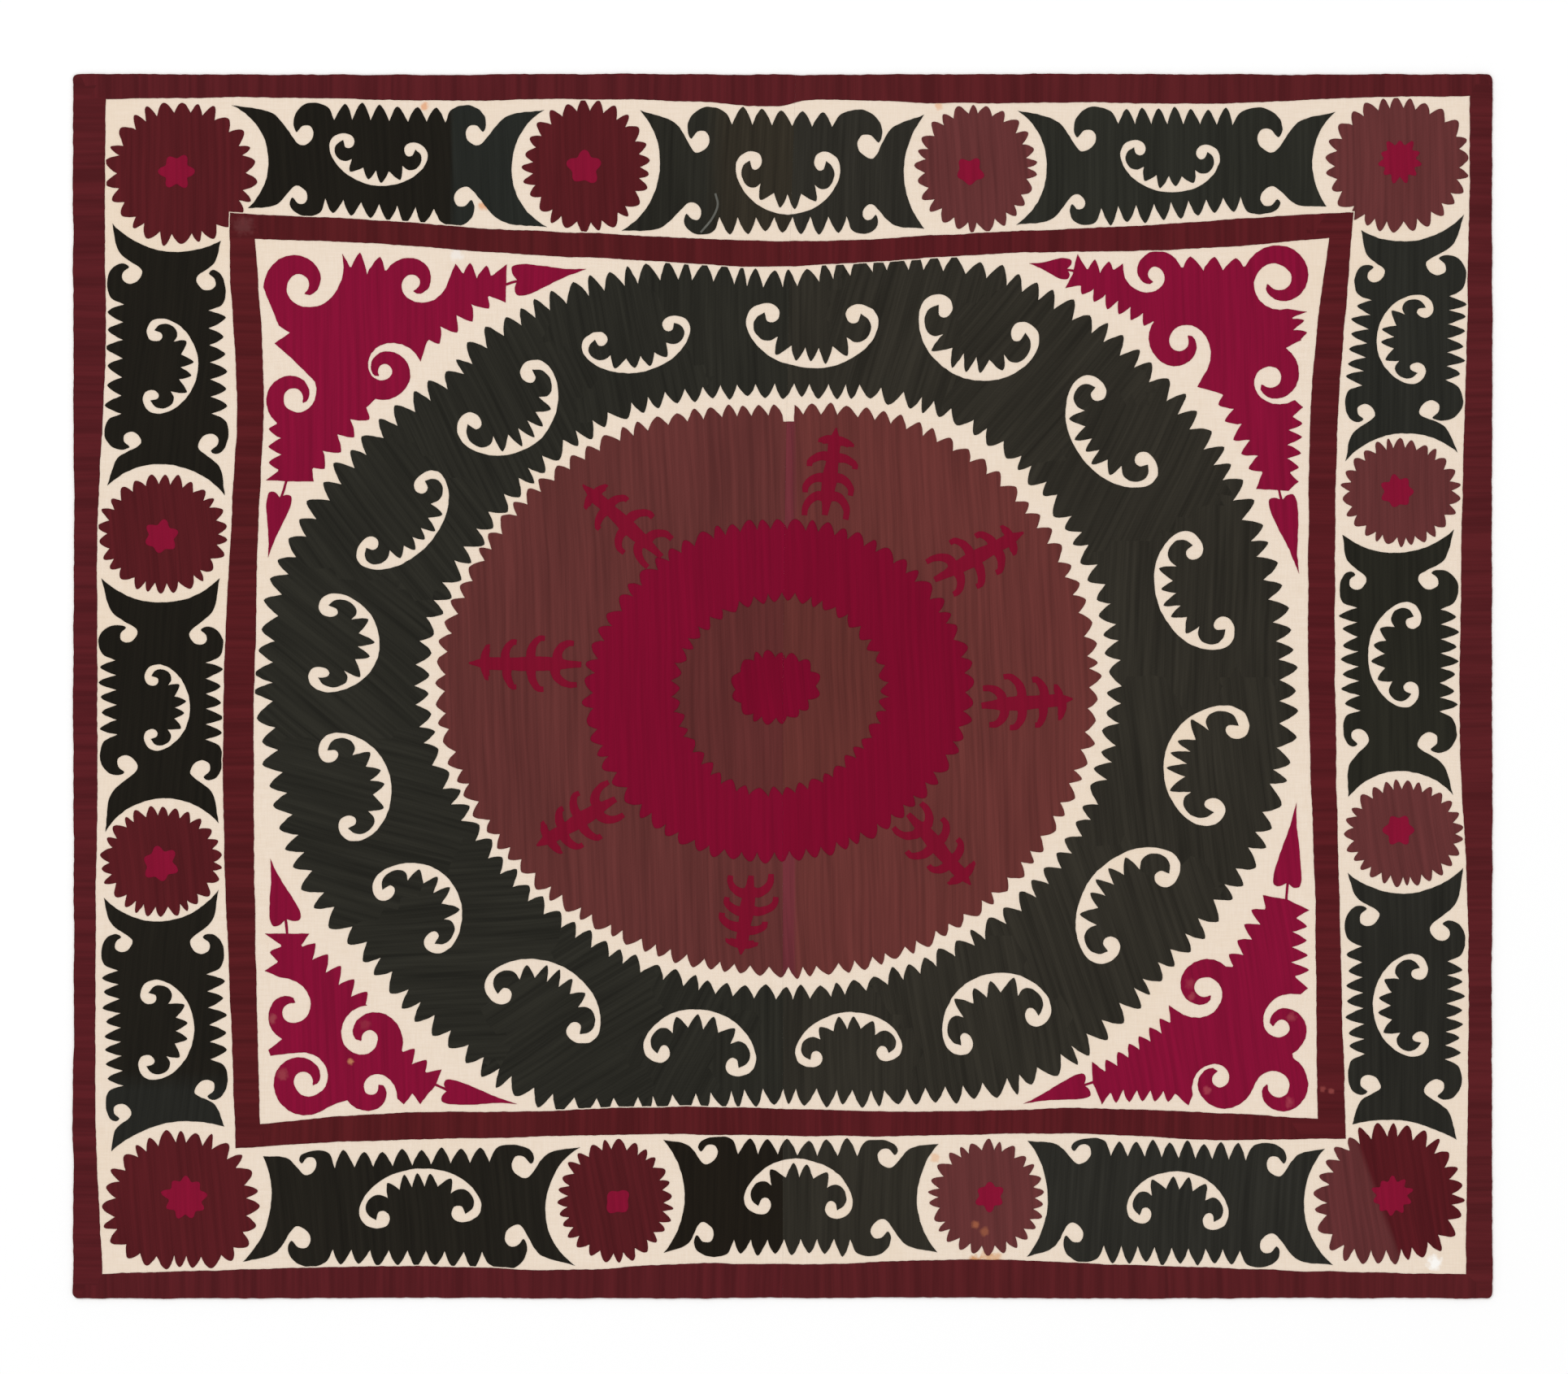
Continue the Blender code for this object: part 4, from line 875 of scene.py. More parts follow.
def spandrel_loops(name):
    """The outline of a corner motif, and those of its leaves and their stems."""
    row = SPANDRELS[name]
    seed = SPANDREL_SEED + list(SPANDRELS).index(name)
    outline = []
    for kind, *values in row["walk"]:
        if kind == "to":
            outline.append(tuple(values))
        elif kind == "teeth":
            x, y, count, height = values
            feet = [along(outline[-1], (x, y), step / count) for step in range(count + 1)]
            outline += [*toothed(feet, height, seed, DEEP_TEETH)[1:], (x, y)]
        else:
            x, y, *turning = values
            outline += scroll((x, y), *turning)
    loops = [outline]
    for base_x, base_y, tip_x, tip_y, half_width in row["leaves"]:
        length, ahead, side = toward((base_x, base_y), (tip_x, tip_y))
        half = [*LEAF_BASE, *[(part * length, wide) for part, wide in LEAF_BLADE]]
        right = curved([(u, v * half_width) for u, v in half])
        leaf = [*right, *[(u, -v) for u, v in reversed(right[1:-1])]]
        loops.append(placed(leaf, (base_x, base_y), ahead, side))
    for x0, y0, x1, y1 in row["stems"]:
        loops.append(stroke([(x0, y0), (x1, y1)], [STEM_WIDTH, STEM_WIDTH]))
    return loops


def stroke(points, widths):
    """The outline of a line that changes width on its way."""
    right, left = [], []
    for index, (point, width) in enumerate(zip(points, widths)):
        before, after = points[max(index - 1, 0)], points[min(index + 1, len(points) - 1)]
        length = math.dist(before, after)
        side = (-(after[1] - before[1]) / length * width / 2, (after[0] - before[0]) / length * width / 2)
        right.append((point[0] + side[0], point[1] + side[1]))
        left.append((point[0] - side[0], point[1] - side[1]))
    return right + left[::-1]


def star_loop(x, y, radius, lobes, facing):
    """A star with round lobes, each drawn a little longer or shorter than the next."""
    rng = random.Random(f"{x} {y}")
    reaches = [rng.uniform(*STAR_REACH) for _ in range(lobes)]
    points = []
    for degrees in range(0, 360, STAR_STEP):
        turn = (degrees - facing) / 360 * lobes
        reach = reaches[round(turn) % lobes]
        swell = math.cos(2 * math.pi * turn)
        wide = reach * (1 + swell) / 2 + STAR_WAIST * (1 - swell) / 2
        points.append(polar((x, y), radius * wide, -degrees))
    return points


def sprig_loops(tip_x, tip_y, end_x, end_y, seed):
    """A stem with a pointed tip, and pairs of thorns that bend back from the tip."""
    rng = random.Random(seed)
    length, ahead, side = toward((tip_x, tip_y), (end_x, end_y))
    foot_width, end_width = RIB_WIDTHS
    loops = [stroke([(part * length, 0) for part, _ in SPRIG_STEM], [width for _, width in SPRIG_STEM])]
    for part, reach, droop in SPRIG_RIBS:
        for way in (-1, 1):
            far = way * reach * rng.uniform(*RIB_REACH)
            back = droop * rng.uniform(*RIB_DROOP)
            start = part * length + rng.uniform(*RIB_SHIFT)
            rib = curved([(start + shift + back * bend, far * out) for shift, bend, out in RIB_LINE])
            last = len(rib) - 1
            widths = [foot_width + (end_width - foot_width) * index / last for index in range(last + 1)]
            loops.append(stroke(rib, widths))
    return [placed(loop, (tip_x, tip_y), ahead, side) for loop in loops]


def band_loop(sides, grow=0.0):
    """A band's edge, clockwise from its top left corner. Grow moves it outward, or inward below zero."""
    points = []
    corner = ()
    for side in sides:
        closing = sides[0][:1] if side is sides[-1] else ()
        points += curved((*corner, *side, *closing))[:-1]
        corner = side[-1:]

    def moved(value, middle, half, reach):
        return value + grow * max(-1, min(1, reach * (value - middle) / half)) ** SIDE_SHARPNESS

    half_width = (CLOTH["right"] - CLOTH["left"]) / 2
    half_height = (CLOTH["bottom"] - CLOTH["top"]) / 2
    return [
        (moved(x, CHART_MIDDLE[0], half_width, SIDE_REACH[0]),
         moved(y, CHART_MIDDLE[1], half_height, SIDE_REACH[1]))
        for x, y in points
    ]


def cloth_loop():
    """The cloth's edge, with small waves and rounded corners."""
    left, right, top, bottom = (CLOTH[side] for side in ("left", "right", "top", "bottom"))
    corners = ((left, top, 180), (right, top, 270), (right, bottom, 0), (left, bottom, 90))
    points = []
    for (x, y, first), (next_x, next_y, _) in zip(corners, corners[1:] + corners[:1]):
        inner = (
            x + math.copysign(CLOTH_CORNER, CHART_MIDDLE[0] - x),
            y + math.copysign(CLOTH_CORNER, CHART_MIDDLE[1] - y),
        )
        points += [polar(inner, CLOTH_CORNER, first + turn) for turn in range(0, 91, CORNER_STEP)]
        waves = []
        for step in range(1, EDGE_PARTS):
            here = along((x, y), (next_x, next_y), step / EDGE_PARTS)
            wave = EDGE_WAVE * (0.5 + 0.5 * math.sin(EDGE_WAVE_TURN * step + first))
            waves.append(polar(here, wave, first - 90))
        points += curved(waves)
    return points


def half_plane(side):
    """The part of the chart on one side of the seam, less half of the gap between two pieces."""
    shift = -PIECE_GAP / 2 if side == "left" else PIECE_GAP / 2
    seam = [(x + shift, y) for y, x in SEAM]
    far = 0 if side == "left" else 2 * CHART_MIDDLE[0]
    return [(far, SEAM[0][0]), *seam, (far, SEAM[-1][0])]


def hand_drawn(loop):
    """The loop in short steps, with each point a little off as a hand would draw it."""
    points = []
    for x, y in in_steps(loop, CURVE_STEP):
        for length, reach in WANDERS:
            off = noise.noise_vector(Vector((x / length, y / length, 0)))
            x, y = x + off.x * reach, y + off.y * reach
        points.append((x, y))
    return points


def in_steps(loop, step):
    """The closed loop with points added so that no edge is longer than a step."""
    points = []
    for here, there in zip(loop, loop[1:] + loop[:1]):
        count = max(1, math.ceil(math.dist(here, there) / step))
        points += [along(here, there, index / count) for index in range(count)]
    return points


def counter_clockwise(loop):
    """The loop turned so that its inside is on the left, as the triangulation needs."""
    return loop if signed_area(loop) > 0 else loop[::-1]


def signed_area(loop):
    return sum(x0 * y1 - x1 * y0 for (x0, y0), (x1, y1) in zip(loop, loop[1:] + loop[:1])) / 2


def triangulated(steps, loose=()):
    """Points and triangles of what is left after each (kind, loop) step, where kind is add, cut or clip."""
    points, faces = [], []
    for _, loop in steps:
        faces.append(list(range(len(points), len(points) + len(loop))))
        points += [Vector(point) for point in counter_clockwise(loop)]
    points += [Vector(point) for point in loose]
    verts, _, triangles, _, _, origins = delaunay_2d_cdt(points, [], faces, INSIDE_TRIANGLES, WELD_DISTANCE)
    left = []
    for triangle, inside in zip(triangles, origins):
        kept = False
        for index, (kind, _) in enumerate(steps):
            if index in inside:
                kept = kind == "add" or (kind == "clip" and kept)
            elif kind == "clip":
                kept = False
        if kept:
            left.append(triangle)
    return verts, left


def rim_of(triangles):
    """Edges with a triangle on one side only, with the triangle on their left."""
    edges = {edge for triangle in triangles for edge in zip(triangle, triangle[1:] + triangle[:1])}
    return sorted(edge for edge in edges if edge[::-1] not in edges)


def joined(rim, verts):
    """The rim's edges as closed loops. Where two loops touch, each goes on with the sharpest left turn."""
    following = {}
    for first, last in rim:
        following.setdefault(first, []).append(last)
    loops = []
    while following:
        start = min(following)
        loop = [start]
        here = following[start].pop()
        if not following[start]:
            del following[start]
        while here != start:
            back = verts[loop[-1]] - verts[here]
            ways = following[here]
            ways.sort(key=lambda way: (back.angle_signed(verts[way] - verts[here]) - TINY) % (2 * math.pi))
            loop.append(here)
            here = ways.pop(0)
            if not ways:
                del following[loop[-1]]
        loops.append(loop)
    return loops


def thinned(loop):
    """The loop without points that are nearly on a neighbour or on the line between both."""
    kept = []
    for index, point in enumerate(loop):
        before = kept[-1] if kept else loop[index - 1]
        after = loop[(index + 1) % len(loop)]
        ahead = (after[0] - before[0], after[1] - before[1])
        area = abs((point[0] - before[0]) * ahead[1] - (point[1] - before[1]) * ahead[0])
        if math.dist(before, point) > SHORTEST_EDGE and area > FLATTEST_CORNER * math.hypot(*ahead):
            kept.append(point)
    return kept


def combined(steps):
    """The outline of the largest area that the steps leave, and its holes."""
    verts, triangles = triangulated(steps)
    loops = [thinned([tuple(verts[index]) for index in loop]) for loop in joined(rim_of(triangles), verts)]
    loops = [loop for loop in loops if len(loop) > 2]
    outline = max(loops, key=signed_area)
    return [outline] + [loop for loop in loops if signed_area(loop) < -SMALLEST_HOLE]


def on_seam(x, y):
    """Whether a point lies where the two panels meet."""
    for (y0, x0), (y1, x1) in zip(SEAM, SEAM[1:]):
        if y0 <= y <= y1:
            return abs(x - x0 - (x1 - x0) * (y - y0) / (y1 - y0)) < SEAM_REACH
    return False


def rim_tree(loops):
    """A search tree over points close together on the loops, but for those along the seam."""
    spots = [spot for loop in loops for spot in in_steps(loop, 1.0) if not on_seam(*spot)]
    tree = kdtree.KDTree(len(spots))
    for index, (x, y) in enumerate(spots):
        tree.insert((x, y, 0), index)
    tree.balance()
    return tree


def edge_points(loops, tree):
    """Rows of points inside the edge, where the upper face rolls down."""
    taken = set()
    points = []
    for distance in EDGE_ROWS:
        for loop in loops:
            for before, here, after in zip(loop[-1:] + loop[:-1], loop, loop[1:] + loop[:1]):
                length = max(math.dist(before, after), TINY)
                x = here[0] - (after[1] - before[1]) / length * distance
                y = here[1] + (after[0] - before[0]) / length * distance
                cell = (distance, round(x / distance), round(y / distance))
                clear = tree.find((x, y, 0))[2] > EDGE_CLEARANCE * distance
                if clear and cell not in taken and not on_seam(*here):
                    taken.add(cell)
                    points.append((x, y))
    return points


def grid_points(loops, tree, spacing, seed):
    """Points spread over the inside, a little off a grid."""
    rng = random.Random(seed)

    def off():
        return rng.uniform(-GRID_SCATTER, GRID_SCATTER) * spacing

    edges = [edge for loop in loops for edge in zip(loop, loop[1:] + loop[:1])]
    low = min(y for loop in loops for _, y in loop)
    high = max(y for loop in loops for _, y in loop)
    points = []
    for row in range(1, int((high - low) / spacing / GRID_ROW) + 1):
        y = low + row * spacing * GRID_ROW
        crossings = sorted(
            x0 + (x1 - x0) * (y - y0) / (y1 - y0) for (x0, y0), (x1, y1) in edges if (y0 <= y) != (y1 <= y)
        )
        for start, end in zip(crossings[::2], crossings[1::2]):
            x = (math.floor(start / spacing) + 0.5 * (row % 2)) * spacing
            while x < end:
                spot = (x + off(), y + off())
                if start < spot[0] < end and tree.find((*spot, 0))[2] > GRID_CLEARANCE * spacing:
                    points.append(spot)
                x += spacing
    return points


def wave_at(x, y):
    """How high the cloth lies off the surface here."""
    spot = Vector((x / WAVE_LENGTH, y / WAVE_LENGTH, WAVE_SLICE))
    return WAVE_HEIGHT * (0.5 + 0.5 * noise.noise(spot))


def on_model(x, y, z):
    return ((x - CHART_MIDDLE[0]) * MM, (CHART_MIDDLE[1] - y) * MM, z * MM)


def add_object(name, data):
    made = bpy.data.objects.new(name, data)
    bpy.context.scene.collection.objects.link(made)
    return made


def lay_rows(mesh, spots, slope_at):
    """Gives each face the direction of its silk rows, as a map that runs along and across them."""
    rows = mesh.uv_layers.new(name="rows")
    for face in mesh.polygons:
        middle = [sum(spots[index][axis] for index in face.vertices) / len(face.vertices) for axis in (0, 1)]
        turn = math.radians(slope_at(*middle))
        for corner, index in zip(face.loop_indices, face.vertices):
            x, y = spots[index][0] * MM, -spots[index][1] * MM
            rows.data[corner].uv = (
                x * math.cos(turn) + y * math.sin(turn),
                y * math.cos(turn) - x * math.sin(turn),
            )
        face.use_smooth = True


def relief(name, loops, bottom, top, spacing, slope_at):
    """A closed piece whose upper face rolls down to its edge. The slope turns the rows of its silk."""
    loops = [in_steps(loop, RIM_STEP) for loop in loops]
    tree = rim_tree(loops)
    loose = edge_points(loops, tree) + grid_points(loops, tree, spacing, len(name))
    steps = [("add", loops[0])] + [("cut", loop) for loop in loops[1:]]
    points, spots, rims, faces = [], [], [], []
    for level, extra in (("upper", loose), ("under", ())):
        verts, triangles = triangulated(steps, extra)
        used = sorted({index for triangle in triangles for index in triangle})
        place = {index: len(points) + order for order, index in enumerate(used)}
        for index in used:
            x, y = verts[index]
            rise = 0.0
            if level == "upper":
                inward = min(1.0, tree.find((x, y, 0))[2] / EDGE_ROLL)
                share = EDGE_STAND + (1 - EDGE_STAND) * math.sqrt(1 - (1 - inward) ** 2)
                rise = (top - bottom) * share + wave_at(x, y) * (1.0 if bottom else inward)
            elif bottom:
                rise = wave_at(x, y)
            points.append(on_model(x, y, bottom + rise))
            spots.append((x, y))
        for triangle in triangles:
            corners = [place[index] for index in triangle]
            faces.append(corners[::-1] if level == "upper" else corners)
        rims.append([(place[first], place[last]) for first, last in rim_of(triangles)])

    def rounded(index):
        return tuple(round(value, 3) for value in spots[index])

    upper_rim, under_rim = rims
    under = {rounded(index): index for edge in under_rim for index in edge}
    for first, last in upper_rim:
        faces.append([first, last, under[rounded(last)], under[rounded(first)]])
    mesh = bpy.data.meshes.new(name)
    mesh.from_pydata(points, [], faces)
    sharp = {frozenset(edge) for edge in upper_rim}
    for edge in mesh.edges:
        edge.use_edge_sharp = frozenset(edge.vertices) in sharp
    lay_rows(mesh, spots, slope_at)
    return add_object(name, mesh)


def srgb(red, green, blue):
    """A colour given as 0 to 255 for the eye, as Blender's linear numbers."""
    parts = (value / 255 for value in (red, green, blue))
    return (*(part / 12.92 if part <= 0.04045 else ((part + 0.055) / 1.055) ** 2.4 for part in parts), 1.0)


def scaled(colour, factor):
    return (*(min(1.0, part * factor) for part in colour[:3]), 1.0)


def add_node(tree, kind, inputs=(), **settings):
    """A shader node with its settings, and with its inputs set or linked."""
    made = tree.nodes.new(f"ShaderNode{kind}")
    for name, value in settings.items():
        setattr(made, name, value)
    for key, value in dict(inputs).items():
        if isinstance(value, bpy.types.NodeSocket):
            tree.links.new(value, made.inputs[key])
        else:
            made.inputs[key].default_value = value
    return made


def computed(tree, operation, *values):
    return add_node(tree, "Math", dict(enumerate(values)), operation=operation).outputs[0]


def mixed(tree, factor, first, second):
    made = add_node(tree, "Mix", {"Factor": factor}, data_type="RGBA")
    for socket, value in ((made.inputs[6], first), (made.inputs[7], second)):
        if isinstance(value, bpy.types.NodeSocket):
            tree.links.new(value, socket)
        else:
            socket.default_value = value
    return made.outputs[2]


def stretched_noise(tree, vector, along_scale, across_scale, detail=2.0):
    """Noise drawn out along the rows."""
    place = add_node(
        tree, "VectorMath", {0: vector, 1: (along_scale, across_scale, 1.0)}, operation="MULTIPLY"
    ).outputs[0]
    return add_node(tree, "TexNoise", {"Vector": place, "Scale": 1.0, "Detail": detail}).outputs[0]


def new_material(name):
    made = bpy.data.materials.new(name)
    made.use_nodes = True
    made.node_tree.nodes.clear()
    tree = made.node_tree
    shader = add_node(tree, "BsdfPrincipled")
    output = add_node(tree, "OutputMaterial")
    tree.links.new(shader.outputs[0], output.inputs[0])
    return made, tree, shader


def even_noise(tree, place, kind):
    """Noise that is as long as it is wide, by the name of its row in NOISES."""
    scale, detail = NOISES[kind]
    return add_node(tree, "TexNoise", {"Vector": place, "Scale": scale, "Detail": detail}).outputs[0]


def ripple(tree, value, length):
    """A wave of this length along the value."""
    return computed(tree, "SINE", computed(tree, "MULTIPLY", value, 2 * math.pi / length))


def varied(tree, value, share, base):
    """The base, lighter or darker by this share of how far the value is from its middle."""
    return computed(tree, "MULTIPLY_ADD", computed(tree, "SUBTRACT", value, 0.5), share, base)


def shades(tree, tone, colour, spread):
    """The colour from its darker shade to its lighter one, by the tone."""
    return mixed(tree, tone, scaled(colour, 1 - spread * 2), scaled(colour, 1 + spread * 2))


def spotted(tree, dye, place, marks):
    """The dye with small marks on it, each with a ragged edge."""
    ragged = even_noise(tree, place, "grain")
    solid, gone = MARK_EDGE
    for (x, y), radius, strength, colour in marks:
        flat = add_node(tree, "VectorMath", {0: place, 1: (1, 1, 0)}, operation="MULTIPLY").outputs[0]
        middle = on_model(x, y, 0)
        away = add_node(tree, "VectorMath", {0: flat, 1: middle}, operation="DISTANCE").outputs["Value"]
        away = varied(tree, ragged, MARK_RAGGED * radius * MM, away)
        edge = {0: away, 1: radius * MM * solid, 2: radius * MM * gone, 3: strength, 4: 0.0}
        dye = mixed(tree, add_node(tree, "MapRange", edge).outputs[0], dye, srgb(*colour))
    return dye


def surfaced(tree, shader, dye, height, surface):
    """Gives the shader its dye and its surface: (bump strength, bump distance, roughness, gloss)."""
    strength, distance, roughness, gloss = surface
    bump = add_node(tree, "Bump", {"Strength": strength, "Distance": distance, "Height": height})
    tree.links.new(dye, shader.inputs["Base Color"])
    tree.links.new(bump.outputs[0], shader.inputs["Normal"])
    shader.inputs["Roughness"].default_value = roughness
    shader.inputs["Specular IOR Level"].default_value = gloss


def silk(name, colour, spread, bars, zones, marks):
    """Couched silk: threads laid side by side in rows, with tie stitches across them. Spread is how far its
    dye varies, bars how much it varies from row to row, and zones are parts worked in another dye."""
    made, tree, shader = new_material(name)
    rows = add_node(tree, "UVMap", uv_map="rows").outputs[0]
    place = add_node(tree, "NewGeometry").outputs["Position"]
    drift = computed(tree, "MULTIPLY", even_noise(tree, place, "drift"), ROW_DRIFT)
    shift = add_node(tree, "CombineXYZ", {1: drift}).outputs[0]
    bent = add_node(tree, "VectorMath", {0: rows, 1: shift}, operation="ADD").outputs[0]
    parts = add_node(tree, "SeparateXYZ", {0: bent})
    lengthwise, crosswise = parts.outputs[0], parts.outputs[1]
    slant = computed(tree, "ADD", lengthwise, computed(tree, "MULTIPLY", crosswise, TIE_SLANT))
    layers = {kind: stretched_noise(tree, bent, *scales) for kind, scales in SILK_NOISES.items()}
    layers["patch"] = even_noise(tree, place, "patch")
    layers["ridge"] = ripple(tree, crosswise, ROW_WIDTH * MM)
    layers["ties"] = ripple(tree, slant, TIE_LENGTH * MM)

    tone = 0.5
    for kind, share in SILK_TONES.items():
        more = BAR_SHARE * bars if kind == "batch" else 0
        tone = varied(tree, layers[kind], share + more, tone)
    # Painted shade and light on the rows and ties: the same waves as their height, darker in the grooves,
    # lighter on the crests.
    for kind, share in ROW_SHADE_IN_TONE.items():
        tone = computed(tree, "MULTIPLY_ADD", layers[kind], share, tone)
    tone = add_node(tree, "Clamp", {0: tone}).outputs[0]
    dye = shades(tree, tone, colour, spread)
    for (x, y), facing, softness, other in zones:
        across, up = polar((0, 0), 1, facing)
        middle = on_model(x, y, 0)
        way = {0: place, 1: (across, -up, 0)}
        ahead = add_node(tree, "VectorMath", way, operation="DOT_PRODUCT").outputs["Value"]
        past = computed(tree, "SUBTRACT", ahead, middle[0] * across - middle[1] * up)
        past = varied(tree, layers["strand"], ZONE_WOBBLE, past)
        share = add_node(tree, "MapRange", {0: past, 1: -softness * MM, 2: softness * MM}).outputs[0]
        dye = mixed(tree, share, dye, shades(tree, tone, srgb(*other), spread))
    dye = spotted(tree, dye, place, marks)

    height = 0.0
    for kind, share in SILK_HEIGHTS.items():
        height = computed(tree, "MULTIPLY_ADD", layers[kind], share, height)
    surfaced(tree, shader, dye, height, SILK_SURFACE)
    return made


def cotton(name):
    """Unbleached plain weave with slubs, a little yellowed, and with the marks of use."""
    made, tree, shader = new_material(name)
    place = add_node(tree, "NewGeometry").outputs["Position"]
    parts = add_node(tree, "SeparateXYZ", {0: place})
    warp, weft = (ripple(tree, parts.outputs[axis], length) for axis, length in enumerate(WEAVE_LENGTHS))
    weave = computed(tree, "MULTIPLY", warp, weft)
    slubs = [stretched_noise(tree, place, *scales) for scales in SLUB_NOISES]
    tone = 0.5
    for slub in slubs:
        tone = varied(tree, slub, SLUB_SHARE, tone)
    tone = computed(tree, "MULTIPLY_ADD", weave, WEAVE_SHARE, tone)
    tone = add_node(tree, "Clamp", {0: tone}).outputs[0]
    dye = mixed(tree, tone, srgb(*COTTON_DARK), srgb(*COTTON_LIGHT))
    first, last, most = YELLOWING
    aged = {0: even_noise(tree, place, "aged"), 1: first, 2: last, 4: most}
    dye = mixed(tree, add_node(tree, "MapRange", aged).outputs[0], dye, srgb(*COTTON_YELLOWED))
    dye = spotted(tree, dye, place, COTTON_MARKS)
    height = computed(tree, "MULTIPLY_ADD", weave, 0.5, slubs[0])
    surfaced(tree, shader, dye, height, COTTON_SURFACE)
    return made


def ring_slope(x, y):
    """Which way the rows run in the ring: they change direction from one drawn panel of it to the next."""
    ring_x, ring_y = ROUNDS["ring_outer"]["centre"]
    ragged = noise.noise(Vector((x / RING_RAGGED_LENGTH, y / RING_RAGGED_LENGTH, 0))) * RING_RAGGED_TURN
    place = (math.degrees(math.atan2(ring_y - y, x - ring_x)) + ragged) % 360
    return next(slope for start, slope in reversed(RING_ROWS) if place >= start)


def band_slope(x, y):
    """The rows of a band run across it."""
    side = abs(x - CHART_MIDDLE[0]) / (CLOTH["right"] - CLOTH["left"])
    end = abs(y - CHART_MIDDLE[1]) / (CLOTH["bottom"] - CLOTH["top"])
    return 0 if side > end else 90


def slope_for(name):
    """The direction of a piece's rows on the model, in degrees, as a function of the place."""
    if name.startswith("ring"):
        return ring_slope
    if "band" in name:
        return band_slope
    kind = next((kind for kind in ROW_SLOPES if kind in name), "disc")
    slope, spread = ROW_SLOPES[kind]
    base = slope + random.Random(name).uniform(-spread, spread)
    return lambda x, y: base


def motifs():
    """Every silk motif as (name, colour, steps, whether the seam cuts it)."""
    outer_band_inside = band_loop(OUTER_BAND_INSIDE)
    inner_band = (band_loop(INNER_BAND_OUTSIDE), band_loop(INNER_BAND_INSIDE))
    border = [
        ("clip", band_loop(OUTER_BAND_INSIDE, -FIELD_MARGIN)),
        ("cut", band_loop(INNER_BAND_OUTSIDE, FIELD_MARGIN)),
    ]
    field = [("clip", band_loop(INNER_BAND_INSIDE, -FIELD_MARGIN))]
    edges = {name: round_edge(name) for name in ROUNDS}
    yield "outer_band", "maroon", [("add", cloth_loop()), ("cut", outer_band_inside)], True
    yield "inner_band", "maroon", [("add", inner_band[0]), ("cut", inner_band[1])], True
    holes = [("cut", crescent(*row)) for row in RING_CRESCENTS]
    ring = [("add", edges["ring_outer"]), ("cut", edges["ring_inner"]), *holes, *field]
    yield "ring", "black", ring, True
    for name, colour, outer, inner in (
        ("disc", "brown", "disc_outer", "pink_outer"),
        ("pink_ring", "magenta", "pink_outer", "pink_inner"),
        ("inner_disc", "brown", "pink_inner", "heart"),
    ):
        yield name, colour, [("add", edges[outer]), ("cut", edges[inner]), ("cut", DISC_NOTCH)], True
    yield "heart", "magenta", [("add", edges["heart"])], True
    for name, row in ROSETTES.items():
        yield name, row[-1], [("add", rosette_loop(name)), *border], False
    neighbours = [("cut", rosette_loop(name, NEIGHBOUR_GAP)) for name in ROSETTES]
    for name, row in CARTOUCHES.items():
        steps = [("add", cartouche_loop(name)), ("cut", crescent(*row["crescent"]))]
        yield name, "black", steps + neighbours + border, name in SEAMED_CARTOUCHES
    neighbours = [("cut", round_edge("ring_outer", NEIGHBOUR_GAP))]
    for name in SPANDRELS:
        loops = [("add", loop) for loop in spandrel_loops(name)]
        yield name, "magenta", loops + neighbours + field, False


def dress(piece, material, slot, node=None):
    """Gives a piece its material, and hangs it on the root body, in place of a node where it has one."""
    piece.data.materials.append(material)
    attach(piece, "root")
    if node:
        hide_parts(node)


def add_panels():
    material = cotton("unbleached_cotton")
    for side in ("left", "right"):
        loops = combined([("add", hand_drawn(cloth_loop())), ("clip", half_plane(side))])
        piece = relief(f"cotton_{side}", loops, 0.0, COTTON_TOP, COTTON_GRID_STEP, lambda x, y: 0)
        dress(piece, material, "cotton", f"panel_{side}")
        xs = [x for x, _ in loops[0]]
        ys = [y for _, y in loops[0]]
        signed_area(loops[0]) * MM * MM


def add_silk():
    for name, colour, steps, split in motifs():
        steps = [(kind, hand_drawn(loop)) for kind, loop in steps]
        for side in ("left", "right") if split else ("",):
            node = f"{name}_{side}" if side else name
            clip = [("clip", half_plane(side))] if side else []
            loops = combined(steps + clip)
            piece = relief(f"{node}_silk", loops, COTTON_TOP, SILK_TOP, GRID_STEP, slope_for(name))
            dress(piece, silk_for(node, colour), colour, node)


def add_marks():
    """The stars on the rosettes and the sprigs on the disc, worked on top of the silk."""
    silks = {kind: silk_for(kind, kind) for kind in ("star", "sprig")}
    marks = {name: [star_loop(*row)] for name, row in STARS.items()}
    marks |= {name: sprig_loops(*row, order) for order, (name, row) in enumerate(SPRIGS.items())}
    for name, loops in marks.items():
        loops = combined([("add", hand_drawn(loop)) for loop in loops])
        piece = relief(name, loops, SILK_TOP - MARK_SINK, MARK_TOP, GRID_STEP, slope_for("disc"))
        dress(piece, silks[name.split("_")[0]], "magenta")


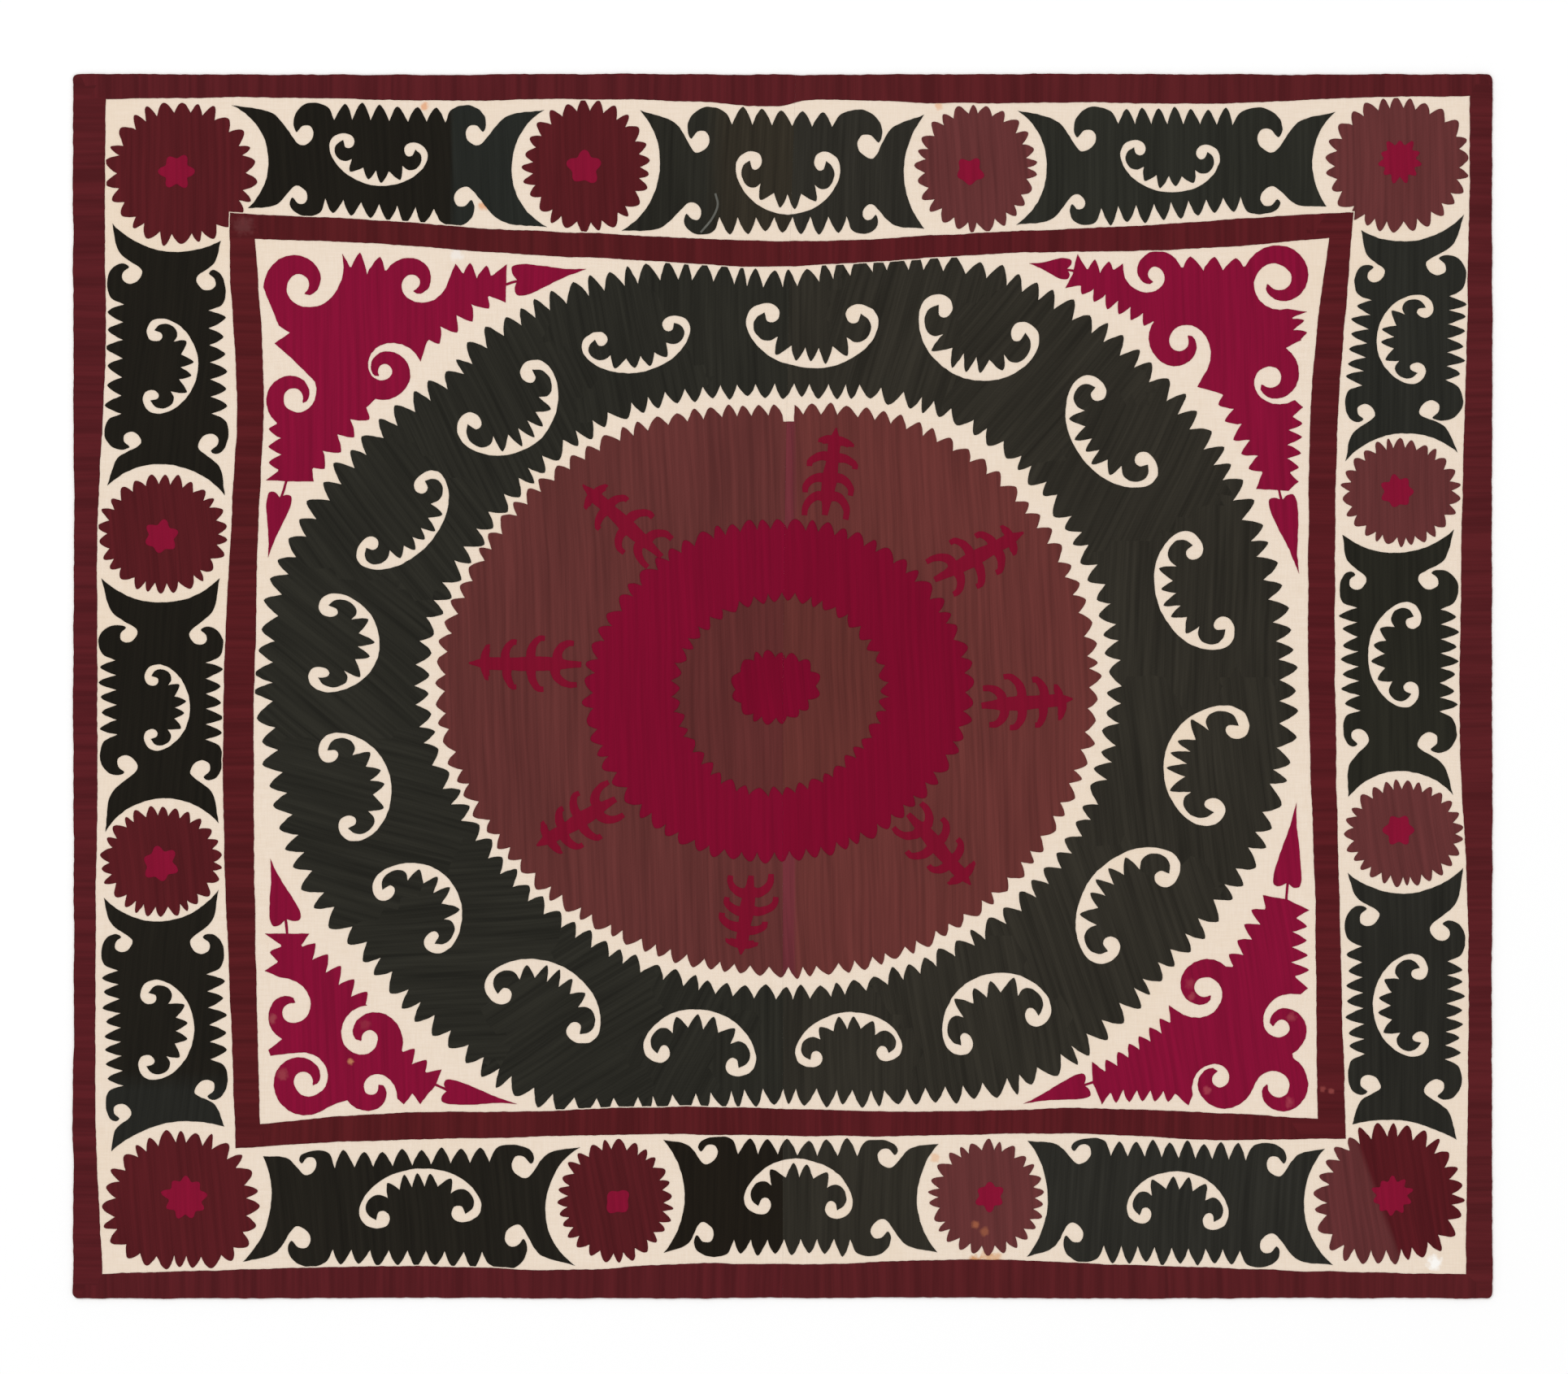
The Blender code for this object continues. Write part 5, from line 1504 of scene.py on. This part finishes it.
def add_loose_thread():
    material = silk_for("loose", "loose")
    way = curved(LOOSE_THREAD)
    loops = combined([("add", stroke(way, [LOOSE_THREAD_WIDTH] * len(way)))])
    piece = relief("loose_thread", loops, SILK_TOP - MARK_SINK, MARK_TOP, GRID_STEP, slope_for("disc"))
    dress(piece, material, "black")


def silk_for(node, colour):
    """The silk of a node: its own dye and how it varies."""
    dye, spread, bars = SILKS.get(node) or SILKS[colour]
    return silk(f"{node}_thread", srgb(*dye), spread, bars, ZONES.get(node, ()), SILK_MARKS.get(node, ()))


def add_floor():
    mesh = bpy.data.meshes.new("floor")
    half = FLOOR_SIZE / 2
    corners = [(x, y, -FLOOR_DROP) for x, y in ((-half, -half), (half, -half), (half, half), (-half, half))]
    mesh.from_pydata(corners, [], [(0, 1, 2, 3)])
    made, _, shader = new_material("floor_white")
    shader.inputs["Base Color"].default_value = (FLOOR_WHITE, FLOOR_WHITE, FLOOR_WHITE, 1)
    shader.inputs["Roughness"].default_value = 0.95
    shader.inputs["Specular IOR Level"].default_value = 0.0
    mesh.materials.append(made)
    add_object("floor", mesh)


def add_camera():
    """Straight above, through a long lens."""
    data = bpy.data.cameras.new("camera")
    data.lens = data.sensor_width * CAMERA_HEIGHT / (PHOTO_SIZE[0] * MM)
    data.clip_end = CAMERA_REACH
    camera = add_object("camera", data)
    middle = on_model(PHOTO_SIZE[0] / 2, PHOTO_SIZE[1] / 2, 0)
    camera.location = (middle[0], middle[1], CAMERA_HEIGHT)
    bpy.context.scene.camera = camera


def add_lights():
    for name, place, power, size in LIGHTS:
        data = bpy.data.lights.new(name, "AREA")
        data.energy = power
        data.size = size
        light = add_object(name, data)
        light.location = place
        light.rotation_euler = (-Vector(place)).to_track_quat("-Z", "Y").to_euler()
    world = bpy.data.worlds.new("studio")
    world.use_nodes = True
    background = world.node_tree.nodes["Background"]
    background.inputs["Color"].default_value = (1, 1, 1, 1)
    background.inputs["Strength"].default_value = WORLD_STRENGTH
    bpy.context.scene.world = world
    bpy.context.scene.view_settings.view_transform = "Standard"


def main():
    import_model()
    noise.seed_set(WANDER_SEED)
    add_camera()
    add_lights()
    add_floor()
    add_panels()
    add_silk()
    add_marks()
    add_loose_thread()


main()
